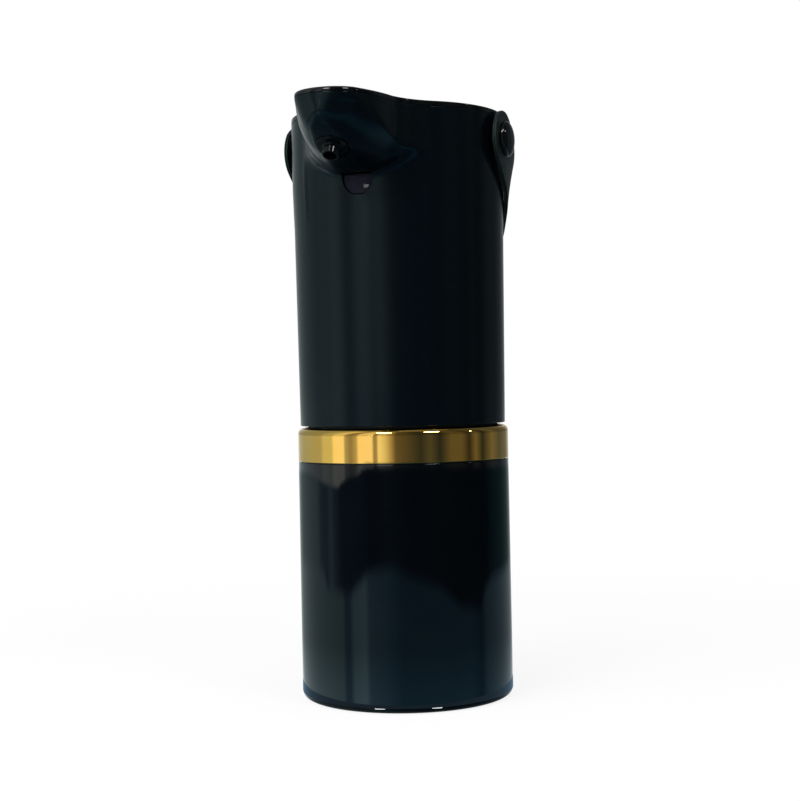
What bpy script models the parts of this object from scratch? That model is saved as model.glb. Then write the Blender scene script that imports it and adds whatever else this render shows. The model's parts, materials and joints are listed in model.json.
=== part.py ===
"""Automatic foam soap dispenser: a bottle with a gilt collar, a screw-on pump head with a beak, and a strap.

Metres, +Z up. The origin is on the bottle's axis, on the surface it stands on.
The beak points to -Y, the strap's studs lie on the X axis and the charging port faces +Y.
"""

from math import atan2, ceil, cos, hypot, pi, radians, sin, sqrt, tan

import bmesh
import bpy
import numpy as np
from mathutils import Matrix, Vector

# Shared fits and facets
seat_gap = 0.0003
overrun = 0.002
bite = 0.0004
merge_distance = 0.000001
wide_steps = 44
inner_steps = 32
round_steps = 18
small_steps = 12
tiny_steps = 8

# Base pad and bottle
pad_thickness = 0.0011
pad_proud = 0.0004
pad_inset = 0.0055
pad_edge = 0.0003
bottle_radius = 0.0365
bottle_draft = 0.00014
bottle_wall = 0.003
bottle_floor = 0.002
bottle_base_fillet = 0.0035
bottle_inner_fillet = 0.003
shoulder_height = 0.0814
neck_step_height = 0.0092
neck_step_depth = 0.0014

# Gilt collar band
band_setback = 0.0001
band_wall = 0.0011
band_height = 0.0113
band_round = 0.0023
band_lip = 0.0011
band_lip_width = 0.0025

# Neck ring with its quick-turn lugs
neck_ring_wall = 0.0021
neck_ring_length = 0.0119
neck_flange_thickness = 0.0007
lug_count = 3
lug_span = radians(36)
lug_height = 0.0024
lug_depth = 0.0018
lug_lead = 0.0144
lug_steps = 3
lug_drop = 0.0044

# Neck seal
seal_thickness = 0.0021
seal_width = 0.002

# Pump head casing
head_gap = 0.0007
casing_height = 0.1038
casing_wall = 0.0019
casing_draft = 0.0011
casing_rows = 14
hollow_rows = 9
flat_angle = radians(0.2)

# Beak, in plan and in profile
beak_overhang = 0.0303
beak_half_width = 0.0114
nose_length = 0.0094
flank_taper_share = 0.24
root_fillet = 0.028
hull_rise = 0.0073
hull_curve_share = 2.2
hull_round = 0.0018
flare_drop = 0.0317
brow_drop = 0.0229
brow_width = 0.0053
brow_lip = 0.0006
belly_drop = 0.0053
belly_curve_share = 1.6
belly_overhang = 0.0195
belly_level_drop = 0.0136
belly_slope = radians(31.4)
chin_slope = radians(40)
chin_round = 0.003
chin_rise = 0.0048
outline_half_degrees = (0, 2.5, 5, 7.4, 9.6, 11.4, 13.6, 16.2, 19.4, 23.4, 28.5, 35, 43)
outline_half_angles = [radians(a) for a in outline_half_degrees]
outline_back_step = radians(10.54)
least_angle = radians(0.01)
wall_rise_share = 0.6
outline_samples = 60
smooth_samples = 400

# Lid
lid_thickness = 0.0014
lid_round = 0.0006
lid_skirt_depth = 0.003
lid_skirt_wall = 0.0014
skirt_front_share = 0.75
lid_post_radius = 0.0016
lid_post_spread = 0.0115

# Power button and its switch
button_y = 0.004
button_radius = 0.0067
button_height = 0.0031
button_proud = 0.0002
button_dish = 0.0004
button_travel = 0.0008
button_stem_radius = 0.0016
button_stem_length = 0.0033
ring_width = 0.001
ring_flange = 0.0016
ring_flange_thickness = 0.0012
ring_height = 0.0026
switch_board_drop = 0.0111
switch_board_length = 0.028
switch_board_width = 0.014
board_thickness = 0.0016
switch_side = 0.006
switch_height = 0.003
plunger_radius = 0.0015
plunger_length = 0.0022
spring_radius = 0.0052
spring_wire = 0.0007
spring_turns = 4
spring_points_per_turn = 8

# Base plate with the plug that turns into the neck ring
plate_thickness = 0.003
plate_gap = 0.0004
plug_room = 0.00236
plug_wall = 0.002
plug_length = 0.0133
boss_radius = 0.0032
boss_inset = 0.0025
boss_height = 0.0144
boss_angles = [radians(a) for a in (-90, 20, 160)]

# Screws
screw_radius = 0.001
screw_head_radius = 0.0021
screw_head_height = 0.0012
screw_length = 0.009

# Chassis
deck_height = 0.0187
deck_thickness = 0.002
deck_gap = 0.0009
leg_radius = 0.003
leg_inset = 0.0045
leg_angles = [radians(a) for a in (-154, -34, 134)]
spine_left = -0.02
spine_width = 0.025
spine_y = 0.0166
spine_thickness = 0.002
spine_headroom = 0.0138

# Battery
battery_angle = radians(37.4)
battery_gap = 0.0013
battery_radius = 0.0092
battery_headroom = 0.0135
battery_nub_radius = 0.003
battery_nub_height = 0.001
cradle_wall = 0.0013
cradle_short = 0.005

# Motor, reduction gears and gear pump
motor_radius = 0.0102
motor_length = 0.026
motor_boss_radius = 0.0035
motor_boss_height = 0.0015
motor_edge = 0.001
motor_shaft_radius = 0.001
motor_shaft_below_deck = 0.0048
terminal_length = 0.004
terminal_width = 0.002
terminal_thickness = 0.0008
terminal_spread = 0.0055
gear_module = 0.0006
pinion_teeth = 10
wheel_teeth = 30
pressure_angle = radians(25)
backlash = 0.00012
root_clearance_share = 0.25
pinion_face = 0.004
wheel_face = 0.003
wheel_drop = 0.0014
rotor_module = 0.00108
rotor_teeth = 10
rotor_face = 0.0064
pump_x = -0.002
pump_y = 0.002
pump_wall = 0.002
pump_floor = 0.0033
pump_cover_thickness = 0.0022
pump_shaft_radius = 0.0015
bush_wall = 0.0012
bush_flange = 0.001
bush_flange_thickness = 0.0008
spigot_radius = 0.0024
spigot_bore = 0.0015
spigot_length = 0.0096
barb_length = 0.006
valve_radius = 0.0022
valve_height = 0.0026
valve_y = -0.0125

# Dip tube and its strainer
tube_radius = 0.0036
tube_bore = 0.0027
tube_floor_gap = 0.0049
strainer_radius = 0.005
strainer_height = 0.0076
strainer_floor_gap = 0.001
strainer_slot = 0.0012
strainer_slots = 2

# Outlet hose
hose_radius = 0.0024
hose_steps = 28
hose_resolution = 2

# Nozzle, foam chamber and screens, along the nozzle's axis from its tip
nozzle_overhang = 0.0213
nozzle_tip_drop = 0.0202
nozzle_tilt = radians(27)
nozzle_radius = 0.0027
nozzle_bore = 0.0021
nozzle_reach = 0.0032
collar_radius = 0.0053
collar_length = 0.0047
nozzle_flange_radius = 0.0065
nozzle_flange_thickness = 0.0012
chamber_radius = 0.0056
chamber_bore = 0.0046
chamber_length = 0.0064
chamber_back = 0.0012
screen_thickness = 0.0006
screen_mesh_width = 0.0003
screen_bars = 3
spacer_wall = 0.0011
spacer_length = 0.0023
inlet_radius = 0.0022
inlet_bore = 0.0013
inlet_length = 0.0094
inlet_drop = 0.009

# Sensor window and what looks through it
window_width = 0.0109
window_height = 0.0069
window_taper_share = 0.651
window_taper_power = 3
window_steps = 8
window_thickness = 0.0016
window_recess = 0.0003
window_gap = 0.00025
led_radius = 0.0015
led_length = 0.0038
led_spread = 0.0028
holder_width = 0.012
holder_height = 0.008
holder_depth = 0.0036
sensor_board_width = 0.018
sensor_board_height = 0.016

# Boards and charging port
main_board_left = -0.019
main_board_width = 0.023
main_board_low = 0.006
main_board_height = 0.052
chip_side = 0.009
chip_height = 0.0012
capacitor_radius = 0.0025
capacitor_height = 0.005
charge_board_width = 0.018
charge_board_length = 0.0143
charge_board_gap = 0.0022
port_height = 0.0117
socket_width = 0.009
socket_height = 0.0032
socket_depth = 0.0073
socket_wall = 0.0003
socket_setback = 0.0026
standoff_radius = 0.002
standoff_x = 0.006
standoff_setback = 0.0108
cover_width = 0.0144
cover_height = 0.0096
cover_thickness = 0.0015
cover_recess = 0.0008
cover_corner = 0.0009
tongue_width = 0.0072
tongue_height = 0.0014
tongue_depth = 0.001

# Strap and its studs
stud_drop = 0.0098
stud_cap_radius = 0.006
stud_cap_height = 0.0025
stud_cap_edge = 0.0009
stud_post_radius = 0.0028
stud_boss_radius = 0.0052
stud_boss_height = 0.0008
strap_thickness = 0.0013
strap_end_radius = 0.0096
strap_width = 0.015
strap_neck_length = 0.026
strap_slope = radians(45)
strap_side_gap = 0.0005
strap_bulge = 0.0013
strap_bulge_end = radians(38)
strap_back_gap = 0.0006
strap_flat_end = radians(50)
strap_edge = 0.0004
strap_curve_steps = 14
strap_end_steps = 5
washer_radius = 0.0045
washer_thickness = 0.0008
stud_screw_length = 0.0048

# Levels and radii worked out from the sizes above
pad_seat = pad_thickness + seat_gap
bottle_bottom = pad_proud
pad_radius = bottle_radius - pad_inset
bottle_neck_radius = bottle_radius - bottle_draft
bottle_inner_floor = pad_seat + bottle_floor
bottle_inner_radius = bottle_neck_radius - bottle_wall
neck_step_radius = bottle_neck_radius - neck_step_depth
bottle_rim = shoulder_height + neck_step_height
band_bottom = shoulder_height + seat_gap
band_top = band_bottom + band_height
band_radius = bottle_radius - band_setback
band_inner_radius = band_radius - band_wall
band_lip_inner_radius = band_radius - band_lip_width
neck_flange_radius = band_inner_radius - 2 * seat_gap
flange_low = bottle_rim + seat_gap
flange_top = flange_low + neck_flange_thickness
ring_outer_radius = bottle_inner_radius - seat_gap
ring_inner_radius = ring_outer_radius - neck_ring_wall
plug_radius = ring_inner_radius - plug_room
seal_low = flange_top + seat_gap
seal_top = seal_low + seal_thickness
plate_low = seal_top + seat_gap
plate_top = plate_low + plate_thickness
casing_bottom = band_top + head_gap
casing_top = casing_bottom + casing_height
lid_low = casing_top + seat_gap
lid_top = lid_low + lid_thickness
casing_top_radius = bottle_radius
casing_low_radius = casing_top_radius - casing_draft
inner_low_radius = casing_low_radius - casing_wall
inner_top_radius = casing_top_radius - casing_wall
beak_reach = casing_top_radius + beak_overhang
plate_radius = inner_low_radius - plate_gap
boss_ring_radius = inner_low_radius - boss_inset
leg_ring_radius = inner_low_radius - leg_inset
deck_radius = inner_low_radius - deck_gap
deck_low = plate_top + deck_height
deck_top = deck_low + deck_thickness
spine_top = lid_low - spine_headroom
battery_low = deck_top + seat_gap
battery_top = lid_low - battery_headroom - battery_nub_height
cradle_radius = battery_radius + seat_gap + cradle_wall
battery_ring_radius = inner_low_radius - cradle_radius - battery_gap
battery_x = battery_ring_radius * cos(battery_angle)
battery_y = battery_ring_radius * sin(battery_angle)
wheel_pitch_radius = gear_module * wheel_teeth / 2
pinion_pitch_radius = gear_module * pinion_teeth / 2
motor_x = pump_x - wheel_pitch_radius - pinion_pitch_radius
rotor_pitch_radius = rotor_module * rotor_teeth / 2
idler_y = pump_y - 2 * rotor_pitch_radius
mesh_y = pump_y - rotor_pitch_radius
rotor_tip_radius = rotor_pitch_radius + rotor_module
pump_cavity_radius = rotor_tip_radius + seat_gap
pump_outer_radius = pump_cavity_radius + pump_wall
pump_low = plate_top + seat_gap
pump_cavity_low = pump_low + pump_floor
rotor_low = pump_cavity_low + seat_gap
pump_top = rotor_low + rotor_face + seat_gap
cover_low = pump_top + seat_gap
inlet_x = pump_x - sqrt(pump_cavity_radius**2 - rotor_pitch_radius**2) - seat_gap
outlet_z = (pump_cavity_low + pump_top) / 2
shaft_clearance_radius = pump_shaft_radius + seat_gap
port_z = plate_top + port_height


def casing_radius(z):
    share = (z - casing_bottom) / (lid_top - casing_bottom)
    return casing_low_radius + (casing_top_radius - casing_low_radius) * share


charge_board_back = inner_low_radius - charge_board_gap
charge_board_front = charge_board_back - charge_board_length
standoff_y = charge_board_back - standoff_setback
cover_y = casing_radius(port_z) - cover_recess
socket_y = cover_y - socket_setback + cover_recess
nozzle_tip_y = -casing_top_radius - nozzle_overhang
nozzle_tip_z = lid_top - nozzle_tip_drop
inlet_rise = lid_top - inlet_drop
stud_height = lid_top - stud_drop
strap_seat = casing_top_radius + stud_boss_height + seat_gap
stud_face = strap_seat + strap_thickness + seat_gap

MODEL = "foam_soap_dispenser"
part_collection = None
guide_collection = None


def start_collections():
    """Empties the scene and makes one collection for the pieces and one for the cutters and guides."""
    global part_collection, guide_collection
    for old in list(bpy.data.objects):
        bpy.data.objects.remove(old, do_unlink=True)
    part_collection = bpy.data.collections.new(MODEL)
    guide_collection = bpy.data.collections.new("cutters")
    bpy.context.scene.collection.children.link(part_collection)
    bpy.context.scene.collection.children.link(guide_collection)


def material(name, colour, roughness, metallic=0.0):
    """A plain Principled material, made once for each name."""
    found = bpy.data.materials.get(name)
    if found:
        return found
    made = bpy.data.materials.new(name)
    made.use_nodes = True
    shader = made.node_tree.nodes["Principled BSDF"]
    shader.inputs["Base Color"].default_value = (*colour, 1.0)
    shader.inputs["Roughness"].default_value = roughness
    shader.inputs["Metallic"].default_value = metallic
    made.diffuse_color = (*colour, 1.0)
    return made


def add_object(name, data, finish, place=None):
    """Links a piece, or a cutter or guide where finish is None."""
    made = bpy.data.objects.new(name, data)
    if finish is None:
        guide_collection.objects.link(made)
        made.hide_render = True
        made.display_type = "WIRE"
    else:
        part_collection.objects.link(made)
        data.materials.append(finish)
    if place is not None:
        made.matrix_world = place
    return made


def finish_mesh(mesh):
    mesh.shade_smooth()
    mesh.set_sharp_from_angle(angle=radians(35))


def at(x=0.0, y=0.0, z=0.0):
    return Matrix.Translation((x, y, z))


def along(start, direction):
    """A frame at start whose +Z runs along direction."""
    turn = Vector(direction).to_track_quat("Z", "Y").to_matrix().to_4x4()
    return Matrix.Translation(start) @ turn


def turned(name, profile, finish, steps=round_steps, place=None, closed=False):
    """A profile of (radius, height) points, run down its outer side, turned by a Screw modifier."""
    mesh = bpy.data.meshes.new(name)
    points = [(radius, 0.0, height) for radius, height in profile]
    edges = [(i, i + 1) for i in range(len(points) - 1)]
    if closed:
        edges.append((len(points) - 1, 0))
    mesh.from_pydata(points, edges, [])
    made = add_object(name, mesh, finish, place)
    screw = made.modifiers.new("turn", "SCREW")
    screw.steps = steps
    screw.render_steps = steps
    screw.use_merge_vertices = True
    screw.merge_threshold = merge_distance
    screw.use_smooth_shade = True
    return made


def ring_profile(inner, outer, low, high):
    return [(inner, low), (inner, high), (outer, high), (outer, low)]


def tube(name, inner, outer, low, high, finish, steps=round_steps, place=None):
    return turned(name, ring_profile(inner, outer, low, high), finish, steps, place, closed=True)


def rod(name, radius, low, high, finish, steps=round_steps, place=None):
    """A plain cylinder from low to high on its frame's Z axis."""
    mesh = bpy.data.meshes.new(name)
    work = bmesh.new()
    shift = Matrix.Translation((0.0, 0.0, (low + high) / 2))
    bmesh.ops.create_cone(
        work, cap_ends=True, segments=steps, radius1=radius, radius2=radius, depth=high - low, matrix=shift
    )
    work.to_mesh(mesh)
    work.free()
    finish_mesh(mesh)
    return add_object(name, mesh, finish, place)


def block(name, low, high, finish, place=None):
    """A box between two opposite corners."""
    mesh = bpy.data.meshes.new(name)
    work = bmesh.new()
    size = Vector(high) - Vector(low)
    middle = (Vector(high) + Vector(low)) / 2
    frame = Matrix.Translation(middle) @ Matrix.Diagonal((*size, 1.0))
    bmesh.ops.create_cube(work, size=1.0, matrix=frame)
    work.to_mesh(mesh)
    work.free()
    return add_object(name, mesh, finish, place)


def mesh_from_curve(curve_object, name, finish):
    """Turns a curve into a closed mesh whose caps are welded to its sides, and removes the curve."""
    bpy.context.view_layer.update()
    seen = curve_object.evaluated_get(bpy.context.evaluated_depsgraph_get())
    mesh = bpy.data.meshes.new_from_object(seen)
    place = curve_object.matrix_world.copy()
    bpy.data.objects.remove(curve_object, do_unlink=True)
    work = bmesh.new()
    work.from_mesh(mesh)
    bmesh.ops.remove_doubles(work, verts=work.verts, dist=merge_distance)
    bmesh.ops.recalc_face_normals(work, faces=work.faces)
    work.to_mesh(mesh)
    work.free()
    mesh.materials.clear()
    finish_mesh(mesh)
    return add_object(name, mesh, finish, place)


def flat_solid(name, outlines, low, high, finish, place=None):
    """One or more closed outlines in the XY plane, filled between them and given a thickness."""
    curve = bpy.data.curves.new(name, "CURVE")
    curve.dimensions = "2D"
    curve.fill_mode = "BOTH"
    curve.extrude = (high - low) / 2
    for outline in outlines:
        spline = curve.splines.new("POLY")
        spline.points.add(len(outline) - 1)
        for point, (x, y) in zip(spline.points, outline):
            point.co = (x, y, 0.0, 1.0)
        spline.use_cyclic_u = True
    frame = (place or Matrix.Identity(4)) @ at(z=(low + high) / 2)
    return mesh_from_curve(add_object(name, curve, None, frame), name, finish)


def boolean(target, tool, operation):
    change = target.modifiers.new(tool.name, "BOOLEAN")
    change.operation = operation
    change.object = tool
    change.solver = "EXACT"
    return target


def cut(target, tool):
    return boolean(target, tool, "DIFFERENCE")


def join(target, tool):
    return boolean(target, tool, "UNION")


def bevel(target, width, steps=2):
    change = target.modifiers.new("edge", "BEVEL")
    change.width = width
    change.segments = steps
    change.limit_method = "ANGLE"
    change.angle_limit = radians(40)
    return target


def arc(centre_r, centre_z, radius, start, end, steps):
    """Profile points on an arc, from one angle to the other."""
    turns = [start + (end - start) * i / steps for i in range(steps + 1)]
    return [(centre_r + radius * cos(t), centre_z + radius * sin(t)) for t in turns]


def circle(x, y, radius, steps):
    turns = [2 * pi * i / steps for i in range(steps)]
    return [(x + radius * cos(t), y + radius * sin(t)) for t in turns]


def rounded_rectangle(width, height, corner, steps=3):
    """A rectangle about the origin with round corners, anticlockwise."""
    points = []
    for quarter, (sx, sy) in enumerate(((1, 1), (-1, 1), (-1, -1), (1, -1))):
        cx = sx * (width / 2 - corner)
        cy = sy * (height / 2 - corner)
        for i in range(steps + 1):
            turn = quarter * pi / 2 + pi / 2 * i / steps
            points.append((cx + corner * cos(turn), cy + corner * sin(turn)))
    return points


# Finishes
gloss_black = material("gloss_black", (0.012, 0.013, 0.015), 0.08)
matt_black = material("matt_black", (0.018, 0.02, 0.024), 0.5)
gilt = material("gilt", (0.83, 0.56, 0.2), 0.12, 1.0)
leather = material("leather", (0.02, 0.021, 0.023), 0.55)
rubber_black = material("rubber_black", (0.02, 0.02, 0.02), 0.75)
silicone = material("silicone", (0.75, 0.76, 0.76), 0.45)
white_plastic = material("white_plastic", (0.72, 0.73, 0.72), 0.4)
frame_plastic = material("frame_plastic", (0.05, 0.052, 0.056), 0.55)
light_plastic = material("light_plastic", (0.8, 0.86, 0.9), 0.25)
smoked = material("smoked", (0.03, 0.025, 0.03), 0.05)
steel = material("steel", (0.55, 0.56, 0.58), 0.3, 1.0)
brass = material("brass", (0.7, 0.52, 0.25), 0.3, 1.0)
board_green = material("board_green", (0.02, 0.16, 0.07), 0.45)
cell_wrap = material("cell_wrap", (0.05, 0.2, 0.45), 0.35)


def beak_plan(inset):
    """Angles from -Y and radii of the beak's plan outline, moved inwards by inset.

    It is a round nose, a tapering flank and a root fillet that meets the casing's round wall.
    """
    centre = beak_reach - nose_length
    nose_end = atan2(beak_half_width, nose_length * flank_taper_share)
    turns = np.linspace(0, nose_end, outline_samples)
    outline = np.stack([beak_half_width * np.sin(turns), centre + nose_length * np.cos(turns)], 1)
    outwards = np.stack([nose_length * np.sin(turns), beak_half_width * np.cos(turns)], 1)
    outline -= inset * outwards / np.linalg.norm(outwards, axis=1)[:, None]
    slope = Vector((flank_taper_share, -1.0)).normalized()
    outward = Vector((1.0, flank_taper_share)).normalized()
    fillet = root_fillet + inset
    start = Vector(outline[-1]) + outward * fillet
    reach = start.dot(slope)
    beyond = start.length_squared - (casing_top_radius + root_fillet) ** 2
    middle = start + slope * (-reach - sqrt(reach * reach - beyond))
    first = atan2(-outward.y, -outward.x)
    last = atan2(-middle.y, -middle.x)
    turns = np.linspace(first, last, outline_samples)
    root = np.stack([middle.x + fillet * np.cos(turns), middle.y + fillet * np.sin(turns)], 1)
    points = np.concatenate([outline, root])
    angles = np.arctan2(points[:, 0], points[:, 1])
    order = np.argsort(angles)
    return angles[order], np.hypot(points[:, 0], points[:, 1])[order]


def plan_radius(angle, plan, inset=0.0):
    return float(np.interp(abs(angle), plan[0], plan[1], right=casing_top_radius - inset))


def plan_angle(radius, plan):
    order = np.argsort(plan[1])
    return float(np.interp(radius, plan[1][order], plan[0][order]))


def chin_profile(inset):
    """Radius and height of the beak's underside from the wall to the nose, before its belly is let down."""
    flare = lid_top - flare_drop
    brow = lid_top - brow_drop
    wall = casing_radius(flare)
    slope_start = wall + brow_width
    belly = casing_top_radius + belly_overhang
    level = lid_top - belly_level_drop
    chin_end = beak_reach - chin_round
    rise = (chin_end - belly) * tan(chin_slope)
    points = [
        (wall, flare),
        (wall + brow_lip, brow - 2 * brow_lip),
        (wall + 2 * brow_lip, brow),
        (slope_start, level + (slope_start - belly) * tan(belly_slope)),
        (belly, level),
        (chin_end, level + rise),
        (beak_reach, level + rise + chin_rise),
    ]
    return np.array(points) + np.array([-inset, inset * wall_rise_share])


def hull_height(radius, angle, plan, chin):
    """Height of the underside: lowest along its belly on the centre line, rising towards the flanks."""
    share = min(1.0, abs(angle) / max(plan_angle(radius, plan), least_angle))
    run = min(1.0, max(0.0, (radius - chin[2, 0]) / (chin[-1, 0] - chin[2, 0])))
    flank = share ** (hull_curve_share + belly_curve_share * run)
    belly = belly_drop * sin(pi / 2 * run)
    return float(np.interp(radius, chin[:, 0], chin[:, 1])) + hull_rise * flank - belly * (1 - flank)


def run_along(path):
    return np.concatenate([[0.0], np.cumsum(np.hypot(*np.diff(path, axis=0).T))])


def resample(path, count):
    run = run_along(path)
    even = np.linspace(0, run[-1], count)
    return np.stack([np.interp(even, run, path[:, 0]), np.interp(even, run, path[:, 1])], 1)


def smoothed(path):
    """The path with its corners rounded by a moving average over hull_round to either side."""
    fine = resample(path, smooth_samples)
    reach = max(1, int(hull_round / (run_along(path)[-1] / smooth_samples)))
    window = np.ones(2 * reach + 1) / (2 * reach + 1)
    padded = np.pad(fine, ((reach, reach), (0, 0)), mode="reflect", reflect_type="odd")
    return np.stack([np.convolve(padded[:, k], window, "valid") for k in (0, 1)], 1)


def casing_column(angle, plan, inset, chin, low, high, count):
    """Radius and height of the casing's surface at one angle, from low to high."""
    top_radius = plan_radius(angle, plan, inset)
    start = chin[0, 1] - hull_rise
    path = [(casing_radius(start) - inset, start)]
    if top_radius > casing_top_radius - inset + seat_gap:
        cap = casing_top - hull_round
        radii = np.linspace(chin[0, 0], top_radius, outline_samples)
        path += [(r, min(hull_height(r, angle, plan, chin), cap)) for r in radii]
    else:
        path.append((top_radius, chin[0, 1] + hull_rise))
    path.append((top_radius, high))
    rows = resample(smoothed(np.array(path)), count)
    return [(casing_radius(low) - inset, low)] + [(float(r), float(z)) for r, z in rows]


def casing_solid(name, inset, low, high, count, finish):
    """A closed loft of columns round the axis: the casing's outside, or its hollow."""
    plan = beak_plan(inset)
    chin = chin_profile(inset)
    work = bmesh.new()
    columns = []
    for angle in outline_angles():
        column = casing_column(angle, plan, inset, chin, low, high, count)
        columns.append([work.verts.new((r * sin(angle), -r * cos(angle), z)) for r, z in column])
    for first, second in zip(columns, columns[1:] + columns[:1]):
        for k in range(len(first) - 1):
            work.faces.new((first[k], second[k], second[k + 1], first[k + 1]))
    work.faces.new([column[0] for column in reversed(columns)])
    work.faces.new([column[-1] for column in columns])
    bmesh.ops.recalc_face_normals(work, faces=work.faces)
    bmesh.ops.dissolve_limit(work, angle_limit=flat_angle, verts=work.verts, edges=work.edges)
    mesh = bpy.data.meshes.new(name)
    work.to_mesh(mesh)
    work.free()
    finish_mesh(mesh)
    return add_object(name, mesh, finish)


def outline_angles():
    """Angles of the outline's points round the axis: close together at the beak, wider behind it."""
    half = list(outline_half_angles)
    count = ceil((pi - half[-1]) / outline_back_step)
    half += [half[-1] + (pi - half[-1]) * i / count for i in range(1, count)]
    return [-a for a in reversed(half[1:])] + half + [pi]


def top_outline(inset=0.0):
    """The plan outline of the lid and the casing's rim, moved inwards by inset."""
    plan = beak_plan(0.0)
    points = []
    for angle in outline_angles():
        radius = plan_radius(angle, plan)
        points.append(Vector((radius * sin(angle), -radius * cos(angle))))
    moved = []
    for i, point in enumerate(points):
        tangent = points[(i + 1) % len(points)] - points[i - 1]
        outward = Vector((tangent.y, -tangent.x)).normalized()
        moved.append(tuple(point - outward * inset))
    return moved


def add_base_pad():
    profile = [(0.0, pad_thickness), (pad_radius, pad_thickness), (pad_radius, pad_edge)]
    profile += [(pad_radius - pad_edge, 0.0), (0.0, 0.0)]
    turned("base_pad", profile, rubber_black, inner_steps)


def add_bottle():
    recess = pad_radius + seat_gap
    inner_corner = bottle_inner_radius - bottle_inner_fillet
    outer_corner = bottle_radius - bottle_base_fillet
    profile = [(0.0, bottle_inner_floor)]
    profile += arc(inner_corner, bottle_inner_floor + bottle_inner_fillet, bottle_inner_fillet, -pi / 2, 0,
                   1)
    profile += [(bottle_inner_radius, bottle_rim), (neck_step_radius, bottle_rim)]
    profile += [(neck_step_radius, shoulder_height), (bottle_neck_radius, shoulder_height)]
    profile += arc(outer_corner, bottle_bottom + bottle_base_fillet, bottle_base_fillet, 0, -pi / 2, 3)
    profile += [(recess, bottle_bottom), (recess, pad_seat), (0.0, pad_seat)]
    turned("bottle", profile, gloss_black, wide_steps)


def add_gold_band():
    lip_low = band_top - band_lip
    round_centre = band_radius - band_round
    profile = [(band_inner_radius, band_bottom), (band_inner_radius, lip_low)]
    profile += [(band_lip_inner_radius, lip_low), (band_lip_inner_radius, band_top)]
    profile += arc(round_centre, band_top - band_round, band_round, pi / 2, 0, 3)
    profile += [(band_radius, band_bottom)]
    turned("gold_band", profile, gilt, wide_steps, closed=True)


def lug(name, inner, outer, middle_z, centre):
    """A helical lug: a bar of square section that climbs as it goes round the axis."""
    work = bmesh.new()
    rings = []
    for i in range(lug_steps + 1):
        offset = lug_span * (i / lug_steps - 1 / 2)
        rise = lug_lead * offset / (2 * pi)
        low = middle_z - lug_height / 2 + rise
        high = middle_z + lug_height / 2 + rise
        turn = centre + offset
        section = [(inner, low), (outer, low), (outer, high), (inner, high)]
        rings.append([work.verts.new((r * cos(turn), r * sin(turn), z)) for r, z in section])
    for first, second in zip(rings, rings[1:]):
        for k in range(4):
            work.faces.new((first[k], first[k - 3], second[k - 3], second[k]))
    work.faces.new(rings[0])
    work.faces.new(list(reversed(rings[-1])))
    bmesh.ops.recalc_face_normals(work, faces=work.faces)
    mesh = bpy.data.meshes.new(name)
    work.to_mesh(mesh)
    work.free()
    return add_object(name, mesh, None)


def add_neck_ring():
    low = flange_low - neck_ring_length
    profile = [(ring_inner_radius, low), (ring_inner_radius, flange_top), (neck_flange_radius, flange_top)]
    profile += [(neck_flange_radius, flange_low), (ring_outer_radius, flange_low), (ring_outer_radius, low)]
    ring = turned("neck_ring", profile, white_plastic, inner_steps, closed=True)
    middle = flange_top - lug_drop + lug_height / 2
    for i in range(lug_count):
        inner = ring_inner_radius - lug_depth
        join(ring, lug(f"neck_lug_{i}", inner, ring_inner_radius + bite, middle, 2 * pi * i / lug_count))


def add_seal():
    outer = plate_radius - seat_gap
    tube("neck_seal", outer - seal_width, outer, seal_low, seal_top, silicone, inner_steps)


def add_base_plate():
    plug_low = plate_low - plug_length
    profile = [(0.0, plate_top), (plate_radius, plate_top), (plate_radius, plate_low),
               (plug_radius, plate_low)]
    profile += [(plug_radius, plug_low), (plug_radius - plug_wall, plug_low)]
    profile += [(plug_radius - plug_wall, plate_low), (0.0, plate_low)]
    plate = turned("base_plate", profile, frame_plastic, inner_steps)
    middle = flange_top - lug_drop - seat_gap - lug_height / 2
    reach = ring_inner_radius - bite
    for i in range(lug_count):
        join(plate, lug(f"plug_lug_{i}", plug_radius - bite, reach, middle, 2 * pi * i / lug_count))
    for side in (-1, 1):
        place = at(side * standoff_x, standoff_y)
        stand_top = port_z - socket_height / 2 - 2 * seat_gap - board_thickness
        join(plate, rod(f"standoff_{side}", standoff_radius, plate_top - bite, stand_top, None, tiny_steps,
                        place))
    inlet_hole = rod(
        "inlet_hole", spigot_radius + seat_gap, plate_low - overrun, plate_top + overrun, None, small_steps,
        at(inlet_x, mesh_y),
    )
    cut(plate, inlet_hole)
    for i, (x, y) in enumerate(boss_places() + leg_places()):
        add_screw_hole(plate, f"plate_hole_{i}", x, y)


def boss_places():
    return [(boss_ring_radius * cos(a), boss_ring_radius * sin(a)) for a in boss_angles]


def leg_places():
    return [(leg_ring_radius * cos(a), leg_ring_radius * sin(a)) for a in leg_angles]


def add_screw_hole(plate, name, x, y):
    """A clearance hole with a counterbore for a screw head, from below."""
    head = screw_head_radius + seat_gap
    shank = screw_radius + seat_gap
    seat = plate_low + screw_head_height + 2 * seat_gap
    profile = [(0.0, plate_top + overrun), (shank, plate_top + overrun), (shank, seat), (head, seat)]
    profile += [(head, plate_low - seat_gap), (0.0, plate_low - seat_gap)]
    cut(plate, turned(name, profile, None, tiny_steps, at(x, y)))


def add_screw(name, place):
    """A pan-head screw: its head starts at the frame's origin and its shank runs up +Z."""
    shank_top = screw_head_height + screw_length
    profile = [(0.0, shank_top), (screw_radius, shank_top - screw_radius)]
    profile += [(screw_radius, screw_head_height), (screw_head_radius, screw_head_height)]
    profile += [(screw_head_radius, screw_head_height / 3), (screw_head_radius * 3 / 4, 0.0), (0.0, 0.0)]
    turned(name, profile, steel, tiny_steps, place)


def add_base_screws():
    low = plate_low + seat_gap
    for i, (x, y) in enumerate(boss_places()):
        add_screw(f"base_screw_{i + 1}", at(x, y, low))
    for i, (x, y) in enumerate(leg_places()):
        add_screw(f"chassis_screw_{i + 1}", at(x, y, low))


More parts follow.
